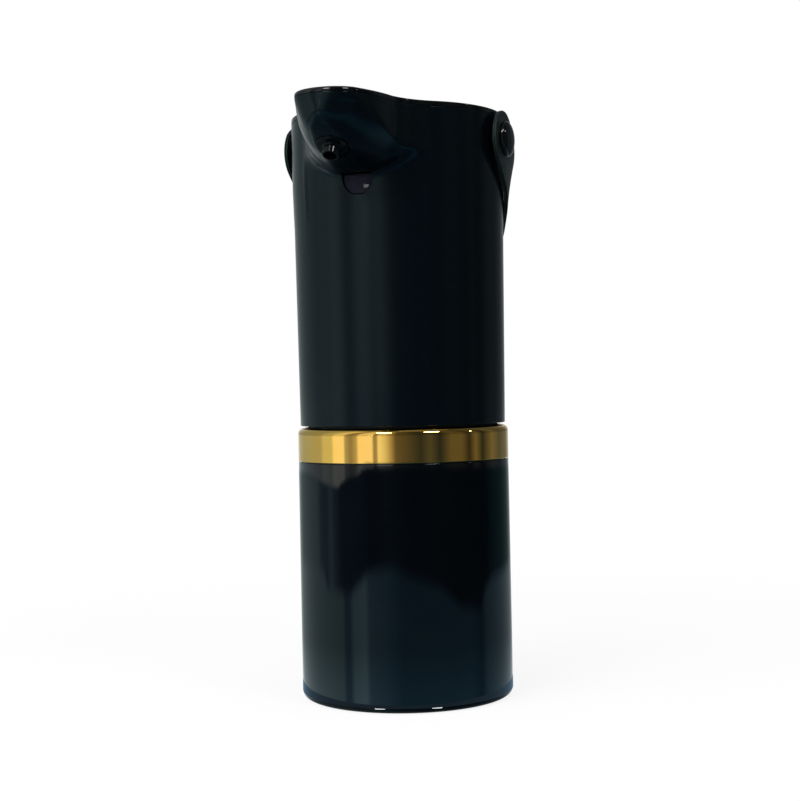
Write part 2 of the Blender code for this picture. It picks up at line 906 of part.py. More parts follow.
def add_casing():
    """The matt casing and its beak, hollowed by the same loft drawn one wall further in."""
    casing = casing_solid("casing", 0.0, casing_bottom, casing_top, casing_rows, matt_black)
    for side in (-1, 1):
        place = along((side * (inner_top_radius + bite), 0.0, stud_height), (side, 0.0, 0.0))
        boss_reach = casing_wall + stud_boss_height - bite
        join(casing, rod(f"stud_boss_{side}", stud_boss_radius, 0.0, boss_reach, None, small_steps, place))
    ends = (casing_bottom - overrun, casing_top + overrun)
    hollow = casing_solid("casing_hollow", casing_wall, *ends, hollow_rows, None)
    low = plate_top + seat_gap
    for i, (x, y) in enumerate(boss_places()):
        cut(hollow, rod(f"boss_{i}", boss_radius, low, low + boss_height, None, small_steps, at(x, y)))
    cut(casing, hollow)
    for i, (x, y) in enumerate(boss_places()):
        bore_top = low + screw_length
        bore = rod(f"boss_bore_{i}", screw_radius + seat_gap, low - overrun, bore_top, None, tiny_steps,
                   at(x, y))
        cut(casing, bore)
    cut(casing, window_prism("window_cut", 0.0, casing_top_radius + brow_width, inner_low_radius - overrun))
    seat = nozzle_reach + collar_length - seat_gap
    frame = nozzle_frame()
    cut(casing, rod("nozzle_cut", collar_radius + seat_gap, -overrun, seat + bite, None, round_steps,
                    frame))
    seat_high = seat + chamber_length
    cut(casing, rod("flange_seat", nozzle_flange_radius + seat_gap, seat, seat_high, None, round_steps,
                    frame))
    for side in (-1, 1):
        place = along((side * (inner_top_radius - overrun), 0.0, stud_height), (side, 0.0, 0.0))
        reach = casing_wall + stud_boss_height + 2 * overrun
        cut(casing, rod(f"stud_cut_{side}", stud_post_radius + seat_gap, 0.0, reach, None, small_steps,
                        place))
    cut(casing, port_prism("port_cut", seat_gap, inner_low_radius - overrun, casing_top_radius + overrun,
                           None))


def nozzle_frame():
    """A frame at the nozzle's tip whose +Z runs inwards along the nozzle."""
    return along((0.0, nozzle_tip_y, nozzle_tip_z), (0.0, sin(nozzle_tilt), cos(nozzle_tilt)))


def window_prism(name, inset, front, back):
    """The window's shield outline, straight along its top edge, as a prism along Y in front of the axis."""
    half = window_width / 2 - inset
    top = lid_top - brow_drop - inset
    low = lid_top - brow_drop - window_height + inset
    side = []
    for i in range(window_steps + 1):
        share = i / window_steps
        side.append((half * (1 - window_taper_share * share**window_taper_power),
                     top + (low - top) * share))
    points = side + [(-x, z) for x, z in reversed(side)]
    place = Matrix.Translation((0.0, -back, 0.0)) @ Matrix.Rotation(pi / 2, 4, "X")
    return flat_solid(name, [points], 0.0, front - back, None, place)


def port_prism(name, grow, front, back, finish):
    """The charging port's opening as a prism along +Y."""
    points = rounded_rectangle(cover_width + 2 * grow, cover_height + 2 * grow, cover_corner)
    place = Matrix.Translation((0.0, back, port_z)) @ Matrix.Rotation(pi / 2, 4, "X")
    return flat_solid(name, [points], 0.0, back - front, finish, place)


def add_lid():
    lid = flat_solid("top_lid", [top_outline()], lid_low, lid_top, gloss_black)
    bevel(lid, lid_round, 1)
    skirt_low = lid_low - lid_skirt_depth
    outer = inner_top_radius - seat_gap
    skirt = tube("lid_skirt", outer - lid_skirt_wall, outer, skirt_low, lid_low + bite, None, inner_steps)
    front_low = (-outer, -outer - overrun, skirt_low - overrun)
    cut(skirt, block("skirt_front", front_low, (outer, -outer * skirt_front_share, lid_low + overrun),
                     None))
    join(lid, skirt)
    board_top = lid_low - switch_board_drop + board_thickness
    for side in (-1, 1):
        place = at(side * lid_post_spread, button_y)
        post = rod(f"lid_post_{side}", lid_post_radius, board_top + seat_gap, lid_low + bite, None,
                   tiny_steps, place)
        join(lid, post)
    hole_radius = button_radius + 2 * seat_gap + ring_width
    place = at(0.0, button_y)
    cut(lid, rod("button_hole", hole_radius, lid_low - overrun, lid_top + overrun, None, round_steps,
                 place))


def add_light_ring():
    inner = button_radius + seat_gap
    outer = inner + ring_width
    flange = outer + ring_flange
    under = lid_low - seat_gap
    low = under - ring_flange_thickness
    profile = [(inner, low), (inner, lid_top), (outer, lid_top), (outer, under), (flange, under),
               (flange, low)]
    turned("light_ring", profile, light_plastic, round_steps, at(0.0, button_y), closed=True)


def add_power_button():
    top = lid_top + button_proud
    low = top - button_height
    stem_low = low - button_stem_length
    rim = button_radius - 2 * button_dish
    profile = [(0.0, top - button_dish), (rim, top), (button_radius, top - button_dish),
               (button_radius, low)]
    profile += [(button_stem_radius, low), (button_stem_radius, stem_low), (0.0, stem_low)]
    turned("power_button", profile, gloss_black, round_steps, at(0.0, button_y))
    plunger_top = stem_low - seat_gap
    place = at(0.0, button_y)
    rod("switch_plunger", plunger_radius, plunger_top - plunger_length, plunger_top, white_plastic,
        tiny_steps, place)


def add_switch_board():
    low = lid_low - switch_board_drop
    half_length = switch_board_length / 2
    half_width = switch_board_width / 2
    corner_low = (-half_length, button_y - half_width, low)
    block("button_board", corner_low, (half_length, button_y + half_width, low + board_thickness),
          board_green)
    base = low + board_thickness + seat_gap
    half = switch_side / 2
    top = base + switch_height
    switch = block("tact_switch", (-half, button_y - half, base), (half, button_y + half, top),
                   frame_plastic)
    plunger_low = lid_top + button_proud - button_height - button_stem_length - seat_gap - plunger_length
    bore_low = plunger_low - button_travel - seat_gap
    bore = rod(
        "switch_bore", plunger_radius + seat_gap, bore_low, top + overrun, None, tiny_steps,
        at(0.0, button_y)
    )
    cut(switch, bore)


def add_button_spring():
    """A compression spring round the switch, under the button."""
    low = lid_low - switch_board_drop + board_thickness + seat_gap + spring_wire / 2
    high = lid_top + button_proud - button_height - seat_gap - spring_wire / 2
    curve = bpy.data.curves.new("button_spring", "CURVE")
    curve.dimensions = "3D"
    curve.bevel_depth = spring_wire / 2
    curve.bevel_resolution = 1
    curve.use_fill_caps = True
    spline = curve.splines.new("POLY")
    count = spring_turns * spring_points_per_turn
    spline.points.add(count)
    for i, point in enumerate(spline.points):
        turn = 2 * pi * i / spring_points_per_turn
        z = low + (high - low) * i / count
        point.co = (spring_radius * cos(turn), button_y + spring_radius * sin(turn), z, 1.0)
    mesh_from_curve(add_object("spring_path", curve, None), "button_spring", steel)
    gap = (high - low) / spring_turns - spring_wire
    print(f"button_spring: least gap between its turns {gap * 1000:.2f} mm")


def add_chassis():
    chassis = rod("chassis", deck_radius, deck_low, deck_top, frame_plastic, round_steps)
    for i, (x, y) in enumerate(leg_places()):
        low = plate_top + seat_gap
        join(chassis, rod(f"leg_{i}", leg_radius, low, deck_low + bite, None, small_steps, at(x, y)))
        bore = rod(f"leg_bore_{i}", screw_radius + seat_gap, low - overrun, low + screw_length, None,
                   tiny_steps, at(x, y))
        cut(chassis, bore)
    corner_low = (spine_left, spine_y, deck_top - bite)
    corner_high = (spine_left + spine_width, spine_y + spine_thickness, spine_top)
    join(chassis, block("spine", corner_low, corner_high, None))
    holes = [
        ("motor_seat", motor_x, pump_y, motor_boss_radius + seat_gap),
        ("bush_seat", pump_x, pump_y, shaft_clearance_radius + bush_wall + seat_gap),
        ("hose_pass", HOSE_X, HOSE_Y, hose_radius + 2 * seat_gap),
    ]
    for name, x, y, radius in holes:
        cut(chassis, rod(name, radius, deck_low - overrun, deck_top + overrun, None, small_steps, at(x, y)))


def add_battery():
    low = battery_low
    top = battery_top
    nub = battery_nub_radius
    profile = [(0.0, top + battery_nub_height), (nub, top + battery_nub_height), (nub, top)]
    profile += [(battery_radius, top), (battery_radius, low), (0.0, low)]
    place = at(battery_x, battery_y)
    turned("battery", profile, cell_wrap, round_steps, place)
    high = top - cradle_short
    inner = battery_radius + seat_gap
    cradle = tube("battery_cradle", inner, cradle_radius, low, high, frame_plastic, round_steps, place)
    reach = cradle_radius + overrun
    open_side = (battery_x - reach, battery_y - reach, low - overrun)
    cut(cradle, block("cradle_cut", open_side, (battery_x + reach, battery_y, high + overrun), None))


def add_motor():
    low = deck_top + seat_gap
    top = low + motor_length
    boss_low = low - motor_boss_height
    bore = motor_shaft_radius + seat_gap
    profile = [(bore, boss_low), (bore, top), (motor_radius - motor_edge, top),
               (motor_radius, top - motor_edge)]
    profile += [(motor_radius, low), (motor_boss_radius, low), (motor_boss_radius, boss_low)]
    motor = turned("motor", profile, steel, round_steps, at(motor_x, pump_y), closed=True)
    for side in (-1, 1):
        x = motor_x + side * terminal_spread
        corner_low = (x - terminal_width / 2, pump_y - terminal_thickness / 2, top - bite)
        corner_high = (x + terminal_width / 2, pump_y + terminal_thickness / 2, top + terminal_length)
        join(motor, block(f"terminal_{side}", corner_low, corner_high, None))
    shaft_low = deck_low - motor_shaft_below_deck
    rod("motor_shaft", motor_shaft_radius, shaft_low, top - motor_edge, steel, tiny_steps,
        at(motor_x, pump_y))


def gear_outline(teeth, module, first_tooth):
    """Involute gear outline, with one tooth centred on the angle first_tooth."""
    pitch = module * teeth / 2
    base = pitch * cos(pressure_angle)
    tip = pitch + module
    root = pitch - module * (1 + root_clearance_share)
    half_tooth = (pi * module / 2 - backlash) / 2 / pitch
    involute_at_pitch = tan(pressure_angle) - pressure_angle

    def half_angle(radius):
        """Half the angle that the tooth takes at a radius."""
        roll = sqrt(max((radius / base) ** 2 - 1, 0.0))
        return half_tooth + involute_at_pitch - (roll - atan2(roll, 1.0))

    start = max(base, root)
    flank = [(root, half_angle(start)), (pitch, half_angle(pitch)), (tip, half_angle(tip))]
    points = []
    for i in range(teeth):
        middle = first_tooth + 2 * pi * i / teeth
        side = [(r, middle - a) for r, a in flank]
        side += [(r, middle + a) for r, a in reversed(flank)]
        points += [(r * cos(a), r * sin(a)) for r, a in side]
    return points


def add_gear(name, teeth, module, first_tooth, bore, low, high, finish, x, y):
    outlines = [gear_outline(teeth, module, first_tooth), circle(0.0, 0.0, bore, small_steps)]
    return flat_solid(name, outlines, low, high, finish, at(x, y))


def add_gears():
    wheel_top = deck_low - wheel_drop
    wheel_low = wheel_top - wheel_face
    pinion_low = wheel_low - (pinion_face - wheel_face) / 2
    bore = motor_shaft_radius + seat_gap
    add_gear("motor_pinion", pinion_teeth, gear_module, 0.0, bore, pinion_low, pinion_low + pinion_face,
             brass, motor_x, pump_y)
    wheel_gap = pi + pi / wheel_teeth
    add_gear("drive_gear", wheel_teeth, gear_module, wheel_gap, shaft_clearance_radius, wheel_low,
             wheel_top, white_plastic, pump_x, pump_y)
    rotor_high = rotor_low + rotor_face
    add_gear("drive_rotor", rotor_teeth, rotor_module, -pi / 2, shaft_clearance_radius, rotor_low,
             rotor_high, white_plastic, pump_x, pump_y)
    rotor_gap = pi / 2 + pi / rotor_teeth
    add_gear("idler_rotor", rotor_teeth, rotor_module, rotor_gap, shaft_clearance_radius, rotor_low,
             rotor_high, white_plastic, pump_x, idler_y)
    shaft_low = pump_cavity_low - pump_floor / 2
    rod("pump_shaft", pump_shaft_radius, shaft_low, deck_top - seat_gap, steel, small_steps,
        at(pump_x, pump_y))
    rod("idler_pin", pump_shaft_radius, shaft_low, cover_low + pump_cover_thickness, steel, small_steps,
        at(pump_x, idler_y))
    bush_inner = shaft_clearance_radius
    bush_outer = bush_inner + bush_wall
    flange_high = deck_low - seat_gap
    flange = bush_outer + bush_flange
    flange_bottom = flange_high - bush_flange_thickness
    profile = [(bush_inner, flange_bottom), (bush_inner, deck_top), (bush_outer, deck_top)]
    profile += [(bush_outer, flange_high), (flange, flange_high), (flange, flange_bottom)]
    turned("shaft_bush", profile, brass, small_steps, at(pump_x, pump_y), closed=True)


def pump_outline(radius):
    """Two half circles round the rotors' axes, joined by straight sides."""
    steps = 8
    points = []
    for middle_y, start in ((pump_y, 0.0), (idler_y, pi)):
        for i in range(steps + 1):
            turn = start + pi * i / steps
            points.append((pump_x + radius * cos(turn), middle_y + radius * sin(turn)))
    return points


def add_pump():
    housing = flat_solid("pump_housing", [pump_outline(pump_outer_radius)], pump_low, pump_top,
                         white_plastic)
    barb_start = (pump_x + pump_outer_radius - bite, mesh_y, outlet_z)
    barb_frame = along(barb_start, (1.0, 0.0, 0.0))
    join(housing, rod("barb", spigot_radius, 0.0, barb_length + bite, None, small_steps, barb_frame))
    place = at(inlet_x, mesh_y)
    spigot_low = pump_low - spigot_length
    join(housing, rod("spigot", spigot_radius, spigot_low, pump_low + bite, None, small_steps, place))
    for name, y in (("drive_cavity", pump_y), ("idler_cavity", idler_y)):
        cut(housing, rod(name, pump_cavity_radius, pump_cavity_low, pump_top + overrun, None, round_steps,
                         at(pump_x, y)))
        seat_low = pump_cavity_low - pump_floor / 2 - seat_gap
        cut(housing, rod(name + "_seat", shaft_clearance_radius, seat_low, pump_cavity_low + bite, None,
                         small_steps, at(pump_x, y)))
    cut(housing, rod("inlet_bore", spigot_bore, spigot_low - overrun, pump_cavity_low + bite, None,
                     tiny_steps, place))
    bore_start = along((pump_x + rotor_pitch_radius / 2, mesh_y, outlet_z), (1.0, 0.0, 0.0))
    reach = pump_outer_radius + barb_length + overrun
    cut(housing, rod("outlet_bore", spigot_bore, 0.0, reach, None, tiny_steps, bore_start))
    cover_top = cover_low + pump_cover_thickness
    outlines = [pump_outline(pump_outer_radius)]
    outlines.append(circle(pump_x, pump_y, shaft_clearance_radius, small_steps))
    outlines.append(circle(pump_x, idler_y, shaft_clearance_radius, small_steps))
    flat_solid("pump_cover", outlines, cover_low, cover_top, frame_plastic)
    valve_low = cover_top + seat_gap
    profile = [(0.0, valve_low + valve_height), (valve_radius / 2, valve_low + valve_height)]
    profile += [(valve_radius, valve_low + valve_height / 2), (valve_radius, valve_low), (0.0, valve_low)]
    turned("air_valve", profile, silicone, tiny_steps, at(pump_x, valve_y))


def add_dip_tube():
    low = bottle_inner_floor + tube_floor_gap
    place = at(inlet_x, mesh_y)
    tube("dip_tube", tube_bore, tube_radius, low, plate_low - 2 * seat_gap, silicone, small_steps, place)
    strainer_low = bottle_inner_floor + strainer_floor_gap
    strainer_top = strainer_low + strainer_height
    bore = tube_radius + seat_gap
    seat = low - seat_gap
    profile = [(bore, strainer_top), (strainer_radius, strainer_top), (strainer_radius, strainer_low)]
    profile += [(0.0, strainer_low), (0.0, strainer_low + pad_thickness),
                (tube_bore, strainer_low + pad_thickness)]
    profile += [(tube_bore, seat), (bore, seat)]
    strainer = turned("intake_strainer", profile, white_plastic, small_steps, place, closed=True)
    for i in range(strainer_slots):
        turn = Matrix.Rotation(pi * (i + 1 / 2) / strainer_slots, 4, "Z")
        reach = strainer_radius + overrun
        half = strainer_slot / 2
        slot_low = (-reach, -half, strainer_low + pad_thickness)
        slot = block(f"strainer_slot_{i}", slot_low, (reach, half, seat), None, place @ turn)
        cut(strainer, slot)


# The outlet hose's way from the pump's barb to the foam chamber
HOSE_X = battery_x + pad_thickness
HOSE_Y = mesh_y - pump_wall


def hose_route():
    barb_end = pump_x + pump_outer_radius + barb_length + seat_gap
    chamber_end = nozzle_entry()[1] + inlet_length + seat_gap
    lead = 2 * hose_radius
    high = inlet_rise - battery_radius
    return [
        (barb_end, mesh_y, outlet_z),
        (barb_end + lead / 2, mesh_y, outlet_z + lead / 12),
        (HOSE_X - lead / 6, (mesh_y + HOSE_Y) / 2, outlet_z + lead * 2 / 3),
        (HOSE_X, HOSE_Y, outlet_z + 2 * lead),
        (HOSE_X, HOSE_Y, deck_top + lead),
        (HOSE_X, HOSE_Y - lead / 2, (deck_top + high) / 2),
        (HOSE_X * 2 / 3, HOSE_Y - 2 * lead, high),
        (HOSE_X / 6, HOSE_Y - 4 * lead, inlet_rise),
        (0.0, chamber_end + lead, inlet_rise),
        (0.0, chamber_end, inlet_rise),
    ]


def catmull_rom(points, count):
    """Evenly counted points on a smooth curve through the given ones."""
    ends = [2 * Vector(points[0]) - Vector(points[1])]
    ends += [Vector(p) for p in points]
    ends.append(2 * Vector(points[-1]) - Vector(points[-2]))
    found = []
    spans = len(points) - 1
    for i in range(count + 1):
        run = spans * i / count
        k = min(int(run), spans - 1)
        t = run - k
        a, b, c, d = ends[k : k + 4]
        found.append(
            (2 * b + (c - a) * t + (2 * a - 5 * b + 4 * c - d) * t * t + (3 * b - a - 3 * c + d) * t**3) / 2
        )
    return found


def add_hose():
    curve = bpy.data.curves.new("outlet_hose", "CURVE")
    curve.dimensions = "3D"
    curve.bevel_depth = hose_radius
    curve.bevel_resolution = hose_resolution
    curve.use_fill_caps = True
    spline = curve.splines.new("POLY")
    route = catmull_rom(hose_route(), hose_steps)
    spline.points.add(len(route) - 1)
    for point, place in zip(spline.points, route):
        point.co = (*place, 1.0)
    mesh_from_curve(add_object("hose_path", curve, None), "outlet_hose", silicone)


def nozzle_entry():
    """The point on the nozzle's axis where the chamber's inlet leaves it."""
    start = nozzle_reach + collar_length + nozzle_flange_thickness + seat_gap + chamber_length - inlet_radius
    return nozzle_frame() @ Vector((0.0, 0.0, start))


def add_nozzle():
    shoulder = nozzle_reach
    collar_end = shoulder + collar_length
    flange_end = collar_end + nozzle_flange_thickness
    profile = [(nozzle_bore, 0.0), (nozzle_bore, flange_end), (nozzle_flange_radius, flange_end)]
    profile += [(nozzle_flange_radius, collar_end), (collar_radius, collar_end), (collar_radius, shoulder)]
    profile += [(nozzle_radius, shoulder), (nozzle_radius, 0.0)]
    turned("nozzle", profile, gloss_black, round_steps, nozzle_frame(), closed=True)
    start = flange_end + seat_gap
    back = start + chamber_length
    profile = [(0.0, back), (chamber_radius, back), (chamber_radius, start), (chamber_bore, start)]
    profile += [(chamber_bore, back - chamber_back), (0.0, back - chamber_back)]
    chamber = turned("foam_chamber", profile, white_plastic, round_steps, nozzle_frame())
    entry = nozzle_entry()
    inlet_place = along((0.0, entry.y, inlet_rise), (0.0, 1.0, 0.0))
    join(chamber, rod("chamber_inlet", inlet_radius, 0.0, inlet_length, None, small_steps, inlet_place))
    cut(chamber, rod("chamber_bore", chamber_bore, start - overrun, back - chamber_back, None, round_steps,
                     nozzle_frame()))
    cut(chamber, rod("inlet_way", inlet_bore, -chamber_back, inlet_length + overrun, None, tiny_steps,
                     inlet_place))
    first = start + seat_gap
    add_screen("foam_screen_outer", first)
    spacer = first + screen_thickness + seat_gap
    screen_radius = chamber_bore - seat_gap
    tube("screen_spacer", screen_radius - spacer_wall, screen_radius, spacer, spacer + spacer_length,
         white_plastic, round_steps, nozzle_frame())
    add_screen("foam_screen_inner", spacer + spacer_length + seat_gap)


def add_screen(name, low):
    """A fine mesh disc: a rim and bars across it."""
    radius = chamber_bore - seat_gap
    screen = tube(name, radius - spacer_wall / 2, radius, low, low + screen_thickness, steel, small_steps,
                  nozzle_frame())
    pitch = 2 * radius / (screen_bars + 1)
    half = screen_mesh_width / 2
    for i in range(screen_bars):
        offset = pitch * (i + 1) - radius
        chord = sqrt(radius**2 - offset**2) - spacer_wall / 4
        high = low + screen_thickness * 2 / 3
        bottom = low + screen_thickness / 3
        bar = block(f"{name}_bar_{i}", (-chord, offset - half, bottom), (chord, offset + half, high), None,
                    nozzle_frame())
        join(screen, bar)


def add_sensor():
    outer = casing_radius(lid_top - brow_drop) - window_recess
    level = lid_top - brow_drop
    ring = tube("sensor_window", outer - window_thickness, outer, level - 2 * window_height,
                level + window_height, smoked, wide_steps)
    boolean(ring, window_prism("window_shape", window_gap, casing_top_radius + overrun,
                               inner_low_radius - overrun), "INTERSECT")
    led_z = lid_top - brow_drop - window_height / 2
    holder_front = -(outer - window_thickness - window_recess - 2 * seat_gap)
    half = holder_width / 2
    holder_low = (-half, holder_front, led_z - holder_height / 2)
    holder_high = (half, holder_front + holder_depth, led_z + holder_height / 2)
    holder = block("sensor_holder", holder_low, holder_high, frame_plastic)
    for name, side in (("ir_emitter", -1), ("ir_receiver", 1)):
        place = along((side * led_spread, holder_front + seat_gap, led_z), (0.0, 1.0, 0.0))
        bore = rod(name + "_bore", led_radius + seat_gap, -overrun, holder_depth + overrun, None,
                   tiny_steps, place)
        cut(holder, bore)
        profile = [(0.0, led_length - seat_gap), (led_radius, led_length - seat_gap),
                   (led_radius, led_radius / 2)]
        profile += [(led_radius * 2 / 3, led_radius / 6), (0.0, 0.0)]
        turned(name, profile, smoked, tiny_steps, place)
    board_front = holder_front + holder_depth + 2 * seat_gap
    half = sensor_board_width / 2
    low = (-half, board_front, led_z - sensor_board_height / 2)
    block("sensor_board", low, (half, board_front + board_thickness, led_z + sensor_board_height / 2),
          board_green)


def add_boards():
    front = spine_y + spine_thickness + seat_gap
    low = deck_top + main_board_low
    right = main_board_left + main_board_width
    back = front + board_thickness
    board = block("main_board", (main_board_left, front, low), (right, back, low + main_board_height),
                  board_green)
    middle_x = (main_board_left + right) / 2
    chip_low = low + main_board_height / 2
    half = chip_side / 2
    join(board, block("chip", (middle_x - half, back - bite, chip_low),
                      (middle_x + half, back + chip_height, chip_low + chip_side), None))
    for i in (1, 2):
        place = along((middle_x, back - bite, low + i * main_board_height / 6), (0.0, 1.0, 0.0))
        join(board, rod(f"capacitor_{i}", capacitor_radius, 0.0, capacitor_height, None, tiny_steps, place))
    half = charge_board_width / 2
    socket_low = port_z - socket_height / 2
    top = socket_low - seat_gap
    block("charge_board", (-half, charge_board_front, top - board_thickness),
          (half, charge_board_back, top), board_green)
    outlines = [rounded_rectangle(socket_width, socket_height, socket_height / 2 - socket_wall)]
    place = Matrix.Translation((0.0, socket_y, port_z)) @ Matrix.Rotation(pi / 2, 4, "X")
    socket = flat_solid("usb_socket", outlines, 0.0, socket_depth, steel, place)
    mouth = rounded_rectangle(socket_width - 2 * socket_wall, socket_height - 2 * socket_wall,
                              socket_height / 2 - 2 * socket_wall)
    cut(socket, flat_solid("socket_mouth", [mouth], -overrun, socket_depth * 3 / 4, None, place))


def add_port_cover():
    """A rubber flap in the port's opening, round along the lower edge where it turns, with a plug behind."""
    half_thickness = cover_thickness / 2
    axis_z = port_z - cover_height / 2 + half_thickness
    axis_y = cover_y - half_thickness
    turns = [pi + pi * i / 6 for i in range(7)]
    work = [(half_thickness * cos(turn), half_thickness * sin(turn)) for turn in turns]
    top = cover_height - half_thickness
    work += [(half_thickness, top), (-half_thickness, top)]
    side = Matrix(((0, 0, 1, 0), (1, 0, 0, axis_y), (0, 1, 0, axis_z), (0, 0, 0, 1)))
    cover = flat_solid("port_cover", [work], -cover_width / 2, cover_width / 2, rubber_black, side)
    half = tongue_width / 2
    tongue_low = (-half, axis_y - half_thickness - tongue_depth, port_z - tongue_height / 2)
    tongue_high = (half, axis_y, port_z + tongue_height / 2)
    join(cover, block("cover_tongue", tongue_low, tongue_high, None))


def strap_half_width(distance):
    """Half the strap's width at a distance from the stud: a round end that draws in to the strap's width."""
    if distance <= 0:
        return sqrt(max(strap_end_radius**2 - distance**2, strap_edge**2))
    return strap_end_radius + (strap_width / 2 - strap_end_radius) * smooth_share(distance / strap_neck_length)


def smooth_share(share):
    """A share from 0 to 1 that starts and ends level."""
    held = min(1.0, max(0.0, share))
    return held * held * (3 - 2 * held)


def strap_middle():
    """Points on the strap's middle line, with the stud as origin: place, outward angle and distance.

    The strap runs back and down from its stud, stands a little off the casing's side and rounds its back.
    """
    down = Vector((0.0, sin(strap_slope), -cos(strap_slope)))
    start = strap_seat + strap_thickness / 2
    hug = casing_top_radius + strap_side_gap + strap_thickness / 2
    points = []
    for i in range(strap_end_steps):
        distance = -(strap_end_radius - strap_edge) * cos(pi / 2 * i / strap_end_steps)
        points.append((Vector((start, 0.0, 0.0)) + down * distance, 0.0, distance))
    reach = 0.0
    last = Vector((start, 0.0, 0.0))
    for i in range(strap_curve_steps + 1):
        turn = pi / 2 * i / strap_curve_steps
        stand = (start - hug) * (1 - smooth_share(turn / strap_bulge_end))
        stand += strap_bulge * sin(pi * min(turn, strap_bulge_end) / strap_bulge_end) ** 2
        radius = hug + stand + strap_back_gap * (turn / (pi / 2)) ** 2
        back = radius * sin(turn)
        place = Vector((radius * cos(turn), back, -back / tan(strap_slope)))
        reach += (place - last).length
        last = place
        points.append((place, turn * smooth_share(turn / strap_flat_end), reach))
    halfway = reversed(points[:-1])
    mirrored = [(Vector((-place.x, place.y, place.z)), pi - turn, run) for place, turn, run in halfway]
    return points + mirrored


def add_strap():
    """A leather strap from stud to stud, lofted from flat sections that face away from the casing."""
    work = bmesh.new()
    middle = strap_middle()
    rings = []
    for i, (place, turn, distance) in enumerate(middle):
        before = middle[max(i - 1, 0)][0]
        after = middle[min(i + 1, len(middle) - 1)][0]
        run = (after - before).normalized()
        outward = Vector((cos(turn), sin(turn), 0.0))
        outward = (outward - run * outward.dot(run)).normalized()
        across = outward.cross(run)
        half = strap_half_width(distance)
        edge = min(strap_edge, half / 2)
        face = strap_thickness / 2
        section = [(face, half - edge), (face - edge, half), (-face, half)]
        section += [(a, -b) for a, b in reversed(section)]
        rings.append([work.verts.new(place + outward * a + across * b) for a, b in section])
    count = len(rings[0])
    for first, second in zip(rings, rings[1:]):
        for k in range(count):
            work.faces.new((first[k], first[(k + 1) % count], second[(k + 1) % count], second[k]))
    work.faces.new(rings[0])
    work.faces.new(list(reversed(rings[-1])))
    bmesh.ops.recalc_face_normals(work, faces=work.faces)
    mesh = bpy.data.meshes.new("strap")
    work.to_mesh(mesh)
    work.free()
    finish_mesh(mesh)
    strap = add_object("strap", mesh, leather, at(z=stud_height))
    reach = stud_face + overrun
    place = along((0.0, 0.0, stud_height), (1.0, 0.0, 0.0))
    cut(strap, rod("strap_holes", stud_post_radius + seat_gap, -reach, reach, None, small_steps, place))


def add_studs():
    for name, side in (("left", -1), ("right", 1)):
        face = along((side * stud_face, 0.0, stud_height), (side, 0.0, 0.0))
        post_low = inner_top_radius - seat_gap - stud_face
        cap = stud_cap_height
        bore_depth = stud_screw_length + 2 * seat_gap
        bore = screw_radius + seat_gap
        profile = [(0.0, cap), (stud_cap_radius / 2, cap - stud_cap_edge / 4)]
        profile += [(stud_cap_radius - stud_cap_edge, cap - stud_cap_edge)]
        profile += [(stud_cap_radius, cap - 2 * stud_cap_edge), (stud_cap_radius, 0.0),
                    (stud_post_radius, 0.0)]
        profile += [(stud_post_radius, post_low), (bore, post_low), (bore, post_low + bore_depth)]
        profile += [(0.0, post_low + bore_depth)]
        turned(f"stud_{name}", profile, gloss_black, round_steps, face)
        washer_high = post_low - seat_gap
        washer_low = washer_high - washer_thickness
        tube(f"stud_washer_{name}", bore, washer_radius, washer_low, washer_high, steel, small_steps, face)
        head_high = washer_low - seat_gap
        head_low = head_high - screw_head_height
        shank_high = post_low + stud_screw_length
        profile = [(0.0, shank_high), (screw_radius, shank_high), (screw_radius, head_high)]
        profile += [(screw_head_radius, head_high), (screw_head_radius, head_low), (0.0, head_low)]
        turned(f"stud_screw_{name}", profile, steel, tiny_steps, face)


def main():
    start_collections()
    add_base_pad()
    add_bottle()
    add_gold_band()
    add_neck_ring()
    add_seal()
    add_casing()
    add_lid()
    add_light_ring()
    add_power_button()
    add_switch_board()
    add_button_spring()
    add_base_plate()
    add_base_screws()
    add_chassis()
    add_battery()
    add_motor()
    add_gears()
    add_pump()
    add_dip_tube()
    add_hose()
    add_nozzle()
    add_sensor()
    add_boards()
    add_port_cover()
    add_strap()
    add_studs()


main()
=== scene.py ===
"""Looks of the automatic foam soap dispenser: smooth surfaces, finishes, studio and camera.

Metres, +Z up. The beak points to -Y and the strap's studs lie on the X axis. The sizes and formulas that
shape the casing, strap and window are those of the part's own source.
"""

import json
from math import atan2, cos, pi, radians, sin, sqrt, tan

import bmesh
import bpy
import numpy as np
from mathutils import Matrix, Vector

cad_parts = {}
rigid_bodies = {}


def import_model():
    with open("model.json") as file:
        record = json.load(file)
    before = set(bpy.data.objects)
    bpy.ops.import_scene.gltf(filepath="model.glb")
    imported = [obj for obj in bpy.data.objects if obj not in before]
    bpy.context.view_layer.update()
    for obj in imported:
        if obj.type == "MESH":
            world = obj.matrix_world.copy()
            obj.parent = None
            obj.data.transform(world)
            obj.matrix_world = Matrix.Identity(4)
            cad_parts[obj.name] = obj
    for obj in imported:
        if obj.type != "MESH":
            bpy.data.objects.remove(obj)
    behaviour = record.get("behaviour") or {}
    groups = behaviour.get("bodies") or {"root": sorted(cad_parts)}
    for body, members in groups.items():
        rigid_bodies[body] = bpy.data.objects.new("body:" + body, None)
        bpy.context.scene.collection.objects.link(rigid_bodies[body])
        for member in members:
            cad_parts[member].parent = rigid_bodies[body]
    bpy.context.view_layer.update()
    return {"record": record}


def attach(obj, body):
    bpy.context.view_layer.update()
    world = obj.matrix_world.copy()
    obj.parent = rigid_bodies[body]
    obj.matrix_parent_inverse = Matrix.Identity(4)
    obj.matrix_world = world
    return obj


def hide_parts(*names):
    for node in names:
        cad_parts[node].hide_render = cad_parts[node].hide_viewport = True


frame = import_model()

